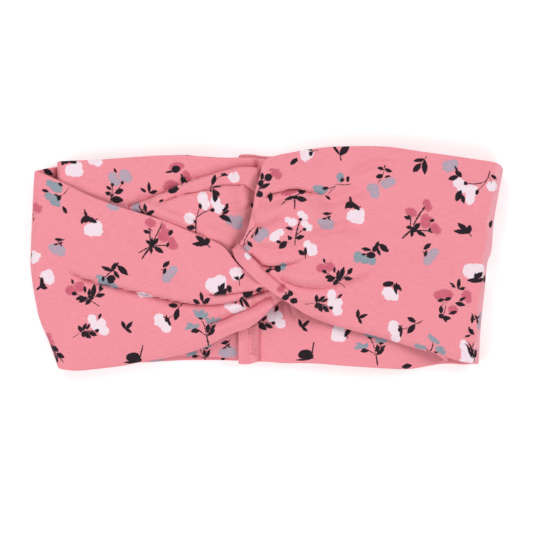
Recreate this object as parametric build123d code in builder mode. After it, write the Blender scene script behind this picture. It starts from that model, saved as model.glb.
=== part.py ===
"""Knotted headband: two flattened jersey tubes, hooked through each other in front and sewn at the back.

It lies flat. Millimetres, +X along the band, +Y across it, +Z up from the surface that it lies on, and the
origin in the middle of its footprint. Each tube runs from the back seam out to a side fold and over the
front to the knot, turns round the other tube there, and runs home inside its own first leg.
"""

from build123d import *
import os

# ---- driving dimensions ----
tube = 1.6  # a strip pressed flat: two plies of jersey and the air between them
clearance = 0.3  # between layers that only lie on each other
head_gap = 7.0  # between the back of the loop and its front, where the head goes
side_wall = 1.8  # a side fold, seen from above
seam_x = -5.0  # where the strips' ends meet at the back
seam_length = 102.0
flap_width = 9.5  # seam allowance, turned to the left over the inside
flap_thickness = 1.2
seam_thread_height = 0.3
stitch_size, stitch_pitch, stitch_count = (0.6, 1.8), 2.6, 38
loop_size, loop_pitch, loop_count = (3.0, 0.9), 2.0, 50
groove_width, groove_depth = 2.6, 0.9  # each tube's long seam, on the side that faces the head
thread_width, thread_height = 2.0, 0.5
thread_inset = 2.0  # how much shorter than its groove a thread is
needle_inset, loops_inset = 4.2, 1.8  # the back seam's two rows of thread, from where the strips meet
seam_bottom, seam_top = -53.0, 52.6  # the outer runs' edges at the back seam
inner_seam_bottom, inner_seam_top = -52.0, 51.0  # the inner runs' edges there
climb_x, climb_middle_y = -22.0, 31.5  # where the left inner leg climbs to the knot
climb_width, climb_length = 3.6, 35.0

# ---- levels, from the surface up ----
back_inner_z = tube + clearance
front_inner_z = back_inner_z + tube + head_gap
front_mid_z = front_inner_z + tube + clearance
front_top_z = front_mid_z + tube + clearance
flap_z = back_inner_z + tube + clearance
flap_top_z = flap_z + flap_thickness
turn_rise_z = front_top_z + 1.0  # underside of the right strip where it turns down into the knot
above_all_z = 40.0
beyond_y = 70.0
left_end_x = seam_x - clearance / 2
right_end_x = seam_x + clearance / 2

# ---- edges seen from above, each a list of points along it ----
left_fold = [
    (-118.4, 45.0), (-119.6, 28.0), (-120.4, 3.0), (-120.3, -7.0),
    (-118.5, -19.0), (-111.2, -41.0), (-106.1, -56.4),
]
left_fold_inside = [(-107.0, 50.0), (-109.0, 25.0), (-110.0, 0.0), (-107.5, -25.0), (-101.0, -53.5)]
left_leg_bottom = [
    (-106.1, -56.4), (-98.0, -57.4), (-74.5, -55.2), (-50.5, -50.7),
    (-30.1, -44.6), (-5.1, -32.6), (7.7, -22.0),
]
left_turn = [
    (7.7, -22.0), (14.0, -14.0), (18.0, 8.0), (14.0, 32.0),
    (0.0, 46.0), (-14.0, 49.0), (-26.0, 50.0),
]
left_turn_inside = [(-26.0, 13.5), (-22.0, 12.0), (-14.0, 11.0), (-12.5, 3.0), (-14.0, -5.0), (-22.0, -5.5)]
left_leg_top = [
    (-22.0, -5.5), (-28.0, 2.0), (-38.3, 12.0), (-58.7, 21.4),
    (-80.6, 28.3), (-101.0, 36.0), (-118.4, 45.0),
]
left_inner_bottom = [(-101.0, -53.5), (-70.0, -38.0), (-45.0, -10.0), (-22.0, 12.5)]
left_inner_top = [(-22.0, 50.5), (-40.3, 52.9), (-59.7, 52.4), (-83.6, 50.9), (-107.0, 50.0)]
left_inner_back_bottom = [(-101.0, -53.5), (left_end_x, inner_seam_bottom)]
left_inner_back_top = [(left_end_x, inner_seam_top), (-107.0, 50.0)]
left_back_bottom = [
    (-106.1, -56.4), (-98.0, -57.4), (-74.5, -55.2), (-40.0, -52.4), (left_end_x, seam_bottom),
]
left_back_top = [(left_end_x, seam_top), (-40.0, 51.5), (-83.6, 50.0), (-118.4, 45.0)]

right_fold = [
    (120.4, 46.5), (117.8, 33.0), (115.3, 18.0), (114.2, 4.3),
    (111.2, -12.0), (108.6, -36.5), (107.6, -54.2),
]
right_fold_inside = [
    (113.0, 44.0), (111.8, 20.0), (110.6, 4.0), (108.0, -12.0),
    (103.5, -36.0), (92.0, -52.0),
]
right_leg_bottom = [
    (107.6, -54.2), (87.2, -48.7), (56.6, -40.0), (30.1, -32.9),
    (9.2, -22.2), (-3.6, -13.0), (-16.0, 2.0),
]
right_leg_left = [(-16.0, 2.0), (-10.0, 20.0), (-5.8, 38.0), (-2.0, 51.0)]
right_leg_top = [(-2.0, 51.0), (15.8, 54.8), (49.5, 57.4), (79.0, 54.6), (108.0, 50.0), (120.4, 46.5)]
right_inner_bottom = [(92.0, -52.0), (60.0, -46.0), (30.0, -36.0), (2.0, -18.0), (-14.0, -3.0)]
right_inner_top = [(-14.0, 9.0), (5.0, 26.0), (35.0, 46.0), (70.0, 49.0), (113.0, 44.0)]
right_inner_back_bottom = [(92.0, -52.0), (right_end_x, inner_seam_bottom)]
right_inner_back_top = [(right_end_x, inner_seam_top), (113.0, 44.0)]
right_back_bottom = [(107.6, -54.2), (88.0, -54.6), (65.0, -56.6), (42.3, -55.2), (right_end_x, seam_bottom)]
right_back_top = [(right_end_x, seam_top), (20.0, 53.0), (60.0, 54.0), (100.0, 50.5), (120.4, 46.5)]

# ---- the outer right leg from the side: points on its underside ----
past_the_turn, over_the_knot, past_the_knot, near_the_fold = 2.7, 3.0, 0.4, 0.3
right_leg_heights = [
    (-22.0, turn_rise_z), (-14.0, turn_rise_z),
    (0.0, front_top_z + past_the_turn), (14.0, front_top_z + over_the_knot),
    (45.0, front_top_z + past_the_knot), (75.0, front_mid_z + 2 * past_the_knot),
    (100.0, front_mid_z + near_the_fold), (125.0, front_mid_z + near_the_fold),
]

# ---- each tube's long seam: its length, its place from above, and the bottom of its groove ----
back_groove_z = back_inner_z + tube - groove_depth
tube_seams = {
    "left_tube_seam_front": (72.0, Location((-64.0, 4.0), 20), front_inner_z),
    "right_tube_seam_front": (90.0, Location((58.0, 1.0), 0), front_inner_z),
    "left_tube_seam_back": (78.0, Location((-62.0, 0), 0), back_groove_z),
    "right_tube_seam_back": (92.0, Location((53.0, 0), 0), back_groove_z),
}


def moved(points, by):
    """An edge moved along X and run the other way."""
    return [(x + by, y) for x, y in reversed(points)]


def layer(low, high, *edges):
    """A flat layer between two heights. Its edges are smooth curves, joined by straight lines."""
    with BuildPart() as flat:
        with BuildSketch(Plane.XY.offset(low)):
            with BuildLine():
                curves = [Spline(*edge) for edge in edges]
                for curve, following in zip(curves, curves[1:] + curves[:1]):
                    if (curve @ 1 - following @ 0).length > clearance / 10:
                        Line(curve @ 1, following @ 0)
            make_face()
        extrude(amount=high - low)
    return flat.part


def seam_block(width, middle_x, low, high):
    """A plain bar along the back seam."""
    with BuildPart() as bar:
        with BuildSketch(Plane.XY.offset(low)):
            with Locations((middle_x, 0)):
                Rectangle(width, seam_length)
        extrude(amount=high - low)
    return bar.part


def long_seam(length, width, place, low, height):
    """A straight bar along a tube: the groove of its long seam, or the thread in that groove."""
    with BuildPart() as bar:
        with BuildSketch(Plane.XY.offset(low)):
            with Locations(place):
                Rectangle(length, width)
        extrude(amount=height)
    return bar.part


def groove(name):
    """The straight groove that a tube's long seam lies in."""
    length, place, low = tube_seams[name]
    return long_seam(length, groove_width, place, low, groove_depth)


# ---- the left strip's front: outer leg, turn inside the knot, inner leg ----
with BuildPart() as left_strip_front:
    add(layer(front_mid_z, front_mid_z + tube,
              left_fold, left_leg_bottom, left_turn, left_turn_inside, left_leg_top))
    add(layer(front_inner_z, front_inner_z + tube, left_fold_inside, left_inner_bottom, left_inner_top))
    with BuildSketch(Plane.XY.offset(front_inner_z)):
        with Locations((climb_x - climb_width / 2, climb_middle_y)):
            Rectangle(climb_width, climb_length)
    extrude(amount=front_mid_z - front_inner_z + tube)
    add(groove("left_tube_seam_front"), mode=Mode.SUBTRACT)
left_strip_front.part.label = "left_strip_front"

# ---- the right strip's front: outer leg over the knot, turn round the left strip, inner leg under it ----
turn_x, turn_y, turn_width = -14.5, 3.0, 12.0
tongue = 6.0  # straight ends of the turn, inside the two legs
turn_radius = (turn_rise_z + tube - front_inner_z) / 2

with BuildPart() as right_turn:
    with BuildSketch(Plane.XZ.offset(-turn_y)):
        with Locations((turn_x, front_inner_z + turn_radius)):
            Circle(turn_radius)
            Circle(turn_radius - tube, mode=Mode.SUBTRACT)
        with Locations((turn_x + turn_radius, front_inner_z + turn_radius)):
            Rectangle(2 * turn_radius, 2 * turn_radius, mode=Mode.SUBTRACT)
        for level in (front_inner_z, turn_rise_z):
            with Locations((turn_x, level)):
                Rectangle(tongue, tube, align=(Align.MIN, Align.MIN))
    extrude(amount=turn_width / 2, both=True)

with BuildPart() as right_outer_leg:
    with BuildSketch(Plane.XZ):
        with BuildLine():
            under = Spline(*right_leg_heights)
            over = Spline(*[(x, z + tube) for x, z in right_leg_heights])
            Line(under @ 0, over @ 0)
            Line(under @ 1, over @ 1)
        make_face()
    extrude(amount=beyond_y, both=True)
    seen_from_above = [right_fold, right_leg_bottom, right_leg_left, right_leg_top]
    add(layer(0, above_all_z, *seen_from_above), mode=Mode.INTERSECT)

with BuildPart() as right_strip_front:
    add(right_outer_leg.part)
    add(right_turn.part)
    add(layer(front_inner_z, front_inner_z + tube, right_fold_inside, right_inner_bottom, right_inner_top))
    add(groove("right_tube_seam_front"), mode=Mode.SUBTRACT)
right_strip_front.part.label = "right_strip_front"

# ---- the backs: an outer and an inner run each, with their side folds, closed at the back seam ----
outer_wall_top = front_mid_z - clearance
inner_wall_top = front_inner_z - clearance

with BuildPart() as left_strip_back:
    add(layer(0, tube, left_fold, left_back_bottom, left_back_top))
    add(layer(tube, outer_wall_top, left_fold, moved(left_fold, side_wall)))
    add(layer(back_inner_z, back_inner_z + tube,
              left_fold_inside, left_inner_back_bottom, left_inner_back_top))
    add(layer(back_inner_z, inner_wall_top, left_fold_inside, moved(left_fold_inside, side_wall)))
    add(seam_block(tube, left_end_x - tube / 2, 0, back_inner_z + tube))
    add(groove("left_tube_seam_back"), mode=Mode.SUBTRACT)
left_strip_back.part.label = "left_strip_back"

with BuildPart() as right_strip_back:
    add(layer(0, tube, right_fold, right_back_bottom, right_back_top))
    add(layer(tube, outer_wall_top, right_fold, moved(right_fold, -side_wall)))
    add(layer(back_inner_z, back_inner_z + tube,
              right_fold_inside, right_inner_back_bottom, right_inner_back_top))
    add(layer(back_inner_z, inner_wall_top, right_fold_inside, moved(right_fold_inside, -side_wall)))
    add(seam_block(tube, right_end_x + tube / 2, 0, flap_top_z))
    add(seam_block(flap_width, right_end_x - flap_width / 2, flap_z, flap_top_z))
    add(groove("right_tube_seam_back"), mode=Mode.SUBTRACT)
right_strip_back.part.label = "right_strip_back"

# ---- thread ----
needle_line_x = seam_x - needle_inset
loops_x = seam_x - loops_inset
in_groove = (groove_depth - thread_height) / 2

with BuildPart() as back_seam_stitches:
    with Locations((needle_line_x, 0, flap_top_z + seam_thread_height / 2)):
        with GridLocations(0, stitch_pitch, 1, stitch_count):
            Box(*stitch_size, seam_thread_height)
back_seam_stitches.part.label = "back_seam_stitches"

with BuildPart() as back_seam_overlock:
    with Locations((loops_x, 0, flap_top_z + seam_thread_height / 2)):
        with GridLocations(0, loop_pitch, 1, loop_count):
            Box(*loop_size, seam_thread_height)
back_seam_overlock.part.label = "back_seam_overlock"

# ---- the thread of each tube's long seam, and the files ----
pieces = [left_strip_front, right_strip_front, left_strip_back, right_strip_back]
pieces += [back_seam_stitches, back_seam_overlock]
for name, (length, place, low) in tube_seams.items():
    with BuildPart() as seam_thread:
        add(long_seam(length - thread_inset, thread_width, place, low + in_groove, thread_height))
    seam_thread.part.label = name
    pieces.append(seam_thread)

os.makedirs("parts", exist_ok=True)
for piece in pieces:
    export_step(piece.part, f"parts/{piece.part.label}.step")
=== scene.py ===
"""Knotted headband of printed jersey, laid flat and seen from straight above.

Two pressed tubes, each built as a smooth grid over its own outline: outer leg, turn in the knot, inner leg,
and the two runs across the back. Lengths are millimetres in the part's own frame until a mesh is made.
"""

import math
from collections import namedtuple

import bpy
import numpy as np
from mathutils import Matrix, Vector


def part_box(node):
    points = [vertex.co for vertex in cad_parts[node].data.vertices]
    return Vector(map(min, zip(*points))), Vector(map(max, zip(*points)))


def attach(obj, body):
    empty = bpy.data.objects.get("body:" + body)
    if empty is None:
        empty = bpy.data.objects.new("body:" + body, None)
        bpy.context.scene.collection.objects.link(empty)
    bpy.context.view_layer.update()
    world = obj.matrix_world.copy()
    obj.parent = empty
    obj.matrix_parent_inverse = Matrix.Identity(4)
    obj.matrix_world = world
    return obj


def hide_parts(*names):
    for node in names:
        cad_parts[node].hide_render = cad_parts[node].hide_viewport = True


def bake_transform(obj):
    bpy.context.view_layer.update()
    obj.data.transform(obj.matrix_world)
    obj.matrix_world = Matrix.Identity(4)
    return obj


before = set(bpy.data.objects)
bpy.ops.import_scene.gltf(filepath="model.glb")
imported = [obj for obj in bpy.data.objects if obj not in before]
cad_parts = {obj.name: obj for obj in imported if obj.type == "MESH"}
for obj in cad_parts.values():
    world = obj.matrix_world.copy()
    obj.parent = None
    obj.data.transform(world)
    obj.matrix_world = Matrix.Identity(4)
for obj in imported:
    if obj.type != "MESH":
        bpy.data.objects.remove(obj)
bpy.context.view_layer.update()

MM = 0.001
TUBE = 1.6  # a strip pressed flat
GAP = 0.3  # between two runs that lie on each other
RIM_REACH = 3.0  # how far in from a side fold the bend begins
LAP = 0.25  # how far a front and a back piece each pass the middle of their side fold

left_box, right_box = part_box("left_strip_front"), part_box("right_strip_front")
INNER_TOP = left_box[0].z / MM + TUBE  # upper face of the front's inner legs
OUTER_TOP = left_box[1].z / MM  # of its outer legs
KNOT_TOP = right_box[1].z / MM
BACK_TOP = 2 * TUBE + GAP  # upper face of the back's inner runs, under the seam allowance
RIM_OUTER = OUTER_TOP / 2  # the middle of the outer side fold, and of the one inside it
RIM_INNER = (INNER_TOP + TUBE + GAP) / 2

CURVE_STEPS = 24  # between two points of a curve
NEAR_STEPS = 60  # along a curve that places are measured from
EDGE_STEPS = 200  # along a run's start
EDGE_CROWD = 0.9  # how strongly rows crowd at a strip's edges, from 0 to 1
DRAPE_ROUND = 15.0  # how softly a drape bends at its points
PLEAT_LIP = 0.6  # half the width over which a pleat steps down
PLEAT_HANG = 1.8  # how far in from its edge a pleat is pulled out over its neighbour
WAVES = 9  # in a ripple
EDGE_ROUND = 1.1  # how far in from its edge a pressed tube grows to its full thickness
HIGHLIGHT_LINE, HIGHLIGHT_WIDTH = 5.0, 2.0  # where a painted highlight lies along the right strip's side fold, measured from the fold, and how wide it is


# ---------------------------------------------------------------- curves and grids
def smooth(points, count):
    """Points evenly spaced along a Catmull-Rom curve through the given ones."""
    p = np.array(points, float)
    p = np.vstack([2 * p[0] - p[1], p, 2 * p[-1] - p[-2]])
    t = np.linspace(0, 1, CURVE_STEPS, endpoint=False)[:, None]
    spans = []
    for a, b, c, d in zip(p, p[1:], p[2:], p[3:]):
        squared, cubed = 2 * a - 5 * b + 4 * c - d, 3 * b - a - 3 * c + d
        spans.append(0.5 * (2 * b + (c - a) * t + squared * t**2 + cubed * t**3))
    fine = np.vstack(spans + [p[-2:-1]])
    run = np.r_[0, np.cumsum(np.linalg.norm(np.diff(fine, axis=0), axis=1))]
    at = np.linspace(0, run[-1], count)
    return np.stack([np.interp(at, run, fine[:, i]) for i in range(fine.shape[1])], axis=1)


def across(rows):
    """Places from one edge of a strip, 0, to the other, 1, closer together at both edges."""
    t = np.linspace(0, 1, rows)
    return t - EDGE_CROWD * np.sin(2 * math.pi * t) / (2 * math.pi)


def plan_grid(upper, lower, start, columns, rows):
    """The strip from above: straight lines from its upper to its lower edge, bent at its start."""
    up, low = smooth(upper, columns), smooth(lower, columns)
    t = across(rows)[None, :, None]
    grid = up[:, None] * (1 - t) + low[:, None] * t
    edge = smooth(start, EDGE_STEPS)
    at = np.linspace(0, 1, EDGE_STEPS)
    bent = np.stack([np.interp(across(rows), at, edge[:, i]) for i in range(2)], axis=1)
    fade = np.clip(1 - np.linspace(0, 1, columns) * 3, 0, 1) ** 2  # gone after a third of the run
    return grid + (bent - grid[0])[None] * fade[:, None, None]


def drape(points):
    """A smooth height over the plan that passes through the given (x, y, z)."""
    p = np.array(points, float)

    def basis(a, b):
        return np.sqrt(((a[:, None] - b[None]) ** 2).sum(-1) + DRAPE_ROUND**2)

    weights = np.linalg.solve(basis(p[:, :2], p[:, :2]), p[:, 2] - p[:, 2].mean())

    def height(plan):
        flat = plan.reshape(-1, 2)
        return (basis(flat, p[:, :2]) @ weights + p[:, 2].mean()).reshape(plan.shape[:-1])

    return height


def measured_from(plan, points):
    """Each place's distance from a curve, positive to its left, how far along that is, and the way left."""
    line = smooth(points, NEAR_STEPS)
    flat = plan.reshape(-1, 2)
    best = np.full(len(flat), 1e9)
    side = np.zeros(len(flat))
    along = np.zeros(len(flat))
    left = np.zeros((len(flat), 2))
    for i, (a, b) in enumerate(zip(line, line[1:])):
        run = b - a
        u = np.clip(((flat - a) @ run) / (run @ run), 0, 1)
        off = flat - (a + u[:, None] * run)
        d = np.hypot(off[:, 0], off[:, 1])
        near = d < best
        best[near] = d[near]
        side[near] = np.sign(run[0] * off[near, 1] - run[1] * off[near, 0])
        along[near] = (i + u[near]) / (len(line) - 1)
        left[near] = np.array([-run[1], run[0]]) / np.hypot(*run)
    shape = plan.shape[:-1]
    return (best * side).reshape(shape), along.reshape(shape), left.reshape(plan.shape)


def ease(x, low, high):
    """From 0 at low to 1 at high, with a smooth start and end."""
    u = np.clip((x - low) / (high - low), 0, 1)
    return u * u * (3 - 2 * u)


def faded(along, fade):
    """1 along a fold, falling to 0 over the given shares of its length at its two ends."""
    return ease(along, 0, fade[0]) * (1 - ease(along, 1 - fade[1], 1))


def pleat(plan, z, points, lip, drop, width, fade, hang, tuck=3.0):
    """Lays the cloth to the left of a curve over its neighbour, and the fold hangs out over that by hang."""
    d, along, left = measured_from(plan, points)
    over = ease(d, -PLEAT_LIP, PLEAT_LIP)
    rise = lip * np.exp(-np.maximum(d, 0) / width)
    sink = -drop * np.exp(np.minimum(d, 0) / tuck)
    ends = faded(along, fade)
    z += (over * rise + (1 - over) * sink) * ends
    plan -= left * (hang * over * np.exp(-np.maximum(d, 0) / PLEAT_HANG) * ends)[..., None]


def swell(plan, z, points, rise, width, fade=(0.25, 0.25)):
    """A soft ridge along a curve, or a valley where rise is below 0."""
    d, along, _ = measured_from(plan, points)
    z += rise * np.exp(-((d / width) ** 2)) * faded(along, fade)


def grid_normals(p):
    """The way out of a grid at each of its points."""
    along = np.gradient(p, axis=0)
    side = np.gradient(p, axis=1)
    n = np.cross(along, side)
    return n / np.maximum(np.linalg.norm(n, axis=-1, keepdims=True), 1e-9)


def ripple(plan, size, amount, seed):
    """Small unevenness of soft cloth: random waves of about size, shorter across the band than along it."""
    rng = np.random.default_rng(seed)
    z = np.zeros(plan.shape[:-1])
    for _ in range(WAVES):
        angle = rng.uniform(0, math.pi)
        wave = size * rng.uniform(0.7, 1.8)
        phase = rng.uniform(0, 2 * math.pi)
        direction = np.array([math.cos(angle), 1.6 * math.sin(angle)])
        z += np.sin((plan @ direction) * 2 * math.pi / wave + phase)
    return z * amount / math.sqrt(WAVES)


# ---------------------------------------------------------------- one run of a strip
Run = namedtuple("Run", "middle flat")  # a pressed tube's middle surface, and its places in the flat cloth


def finish_run(plan, z, level):
    """Joins a run's plan and height, and bends its start to the middle of its side fold.

    The cloth that the bend takes up is added to the flat places, so that the print isn't stretched there.
    """
    flat = plan.copy()
    middle = np.dstack([plan, z - TUBE / 2])
    row = middle[:, middle.shape[1] // 2, :2]
    far = np.r_[0, np.cumsum(np.linalg.norm(np.diff(row, axis=0), axis=1))]
    q = np.clip((RIM_REACH - far) / RIM_REACH, 0, 1)[:, None]
    middle[..., 2] += (level - middle[..., 2]) * (1 - np.sqrt(1 - q**2))
    step = np.diff(middle, axis=0)
    spare = np.linalg.norm(step, axis=2) - np.linalg.norm(step[..., :2], axis=2)
    spare[far[1:] > RIM_REACH] = 0
    hidden = np.cumsum(spare[::-1], axis=0)[::-1]
    way = (plan[-1] - plan[0]) / np.linalg.norm(plan[-1] - plan[0], axis=-1, keepdims=True)
    flat[:-1] -= hidden[..., None] * way[None]
    return Run(middle, flat)


def resample(grid, rows):
    """The same grid with another number of rows."""
    pick = np.linspace(0, grid.shape[1] - 1, rows)
    low = np.minimum(np.floor(pick).astype(int), grid.shape[1] - 2)
    part = (pick - low)[None, :, None]
    return grid[:, low] * (1 - part) + grid[:, low + 1] * part


def bridge(first, second, columns, pull):
    """Columns that carry a strip from the end of one run to the end of the next, in a smooth bend."""
    a, da = first[-1], first[-1] - first[-2]
    b, db = second[0], second[0] - second[1]
    da = da / np.linalg.norm(da, axis=1, keepdims=True) * pull
    db = db / np.linalg.norm(db, axis=1, keepdims=True) * pull
    s = np.linspace(0, 1, columns + 2)[1:-1, None, None]
    return a * (1 - s) ** 3 + (a + da) * 3 * s * (1 - s) ** 2 + (b + db) * 3 * s**2 * (1 - s) + b * s**3


def joined(outer, inner, columns, pull, rolled):
    """One strip of the front: outer leg, turn in the knot and inner leg.

    The turn has that many columns and leaves each leg by pull. A rolled turn swaps the strip's edges.
    """
    parts = []
    for first, second in zip(outer, inner):
        back = resample(second, first.shape[1])[::-1]
        if rolled:
            back = back[:, ::-1]
        parts.append(np.concatenate([first, bridge(first, back, columns, pull), back]))
    return Run(*parts)


def pressed_tube(middle):
    """Upper and lower plies either side of a strip's middle surface, as one grid that closes on itself."""
    n = grid_normals(middle)
    n *= np.sign(n[: len(n) // 2, :, 2].mean())
    width = np.linalg.norm(np.diff(middle, axis=1), axis=2)
    run = np.concatenate([np.zeros((len(middle), 1)), np.cumsum(width, axis=1)], axis=1)
    edge = np.minimum(run, run[:, -1:] - run)
    q = np.clip((EDGE_ROUND - edge) / EDGE_ROUND, 0, 1)
    half = (TUBE / 2 * np.sqrt(1 - q**2))[..., None]
    upper, lower = middle + n * half, middle - n * half
    return np.concatenate([upper, lower[:, -2:0:-1]], axis=1)


def mesh_object(name, points, faces):
    """A smooth mesh from points in millimetres, put in the scene."""
    mesh = bpy.data.meshes.new(name)
    mesh.from_pydata((points.reshape(-1, 3) * MM).tolist(), [], faces)
    mesh.shade_smooth()
    obj = bpy.data.objects.new(name, mesh)
    bpy.context.scene.collection.objects.link(obj)
    return obj


def cloth_object(name, run, panels, materials, painted_fold_highlight=False):
    """The pressed tube of a run, printed. A panel is its first and last column and its two plies' print.
    Where asked, a painted highlight is laid as pale colour along its side fold.
    """
    ring = pressed_tube(run.middle)
    columns, rows = ring.shape[:2]
    half = run.middle.shape[1]
    i, j = np.meshgrid(np.arange(columns - 1), np.arange(rows), indexing="ij")
    k = (j + 1) % rows
    corners = [(i, j), (i + 1, j), (i + 1, k), (i, k)]
    faces = np.stack([a * rows + b for a, b in corners], axis=-1).reshape(-1, 4)
    source = np.r_[np.arange(half), np.arange(half - 2, 0, -1)]
    fabric = np.stack([run.flat[a, source[b]] for a, b in corners], axis=2).reshape(-1, 4, 2)
    under = (j >= half - 1).ravel()
    fabric[under, :, 0] *= -1
    column = i.ravel()
    lists = []
    for first, last, upper, lower in panels:
        inside = (column >= first) & (column < last)
        lists += [(inside & ~under, upper), (inside & under, lower)]
    obj = mesh_object(name, ring, faces.tolist())
    paint(obj, fabric, lists, materials)
    # painted highlight: a pale band of colour along the side fold that stands in for light caught on the
    # fold's edge
    far = np.linalg.norm(run.flat[:, source] - run.flat[:1, source], axis=2) - HIGHLIGHT_LINE
    pale = painted_fold_highlight * np.exp(-((far / HIGHLIGHT_WIDTH) ** 4))
    fold_highlight = obj.data.attributes.new("fold_highlight", "FLOAT", "POINT")
    fold_highlight.data.foreach_set("value", pale.astype(np.float32).ravel())
    return obj


# ---------------------------------------------------------------- the print's drawing
Mark = namedtuple("Mark", "ink shape x y turn long wide bend")  # long and wide are half its size

INKS = {
    "white": (0.77, 0.672, 0.73),
    "lilac": (0.348, 0.325, 0.405),
    "teal": (0.150, 0.292, 0.340),
    "rose": (0.50, 0.088, 0.142),
    "black": (0.012, 0.007, 0.012),
}


def petal(ink, x, y, wide, tall, turn=0.0):
    """A round patch of ink, by its middle and its two widths."""
    return Mark(ink, "petal", x, y, turn, wide / 2, tall / 2, 0)


def leaf(x, y, turn, long, wide, bend=0.0):
    """A pointed leaf that grows from x, y in the direction turn."""
    reach = long / 2
    x += reach * math.cos(math.radians(turn))
    y += reach * math.sin(math.radians(turn))
    return Mark("black", "leaf", x, y, turn, reach, wide / 2, bend)


def stem(x, y, to_x, to_y, bend, wide):
    """A thin stalk between two places."""
    turn = math.degrees(math.atan2(to_y - y, to_x - x))
    reach = math.hypot(to_x - x, to_y - y) / 2
    return Mark("black", "stem", (x + to_x) / 2, (y + to_y) / 2, turn, reach, wide / 2, bend)


def motif(leaves=(), stems=(), **petals):
    """One drawing in millimetres: its petals, listed by ink, then its leaves and stems, which are black."""
    marks = [petal(ink, *values) for ink, rows in petals.items() for values in rows]
    return marks + [leaf(*values) for values in leaves] + [stem(*values) for values in stems]


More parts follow.
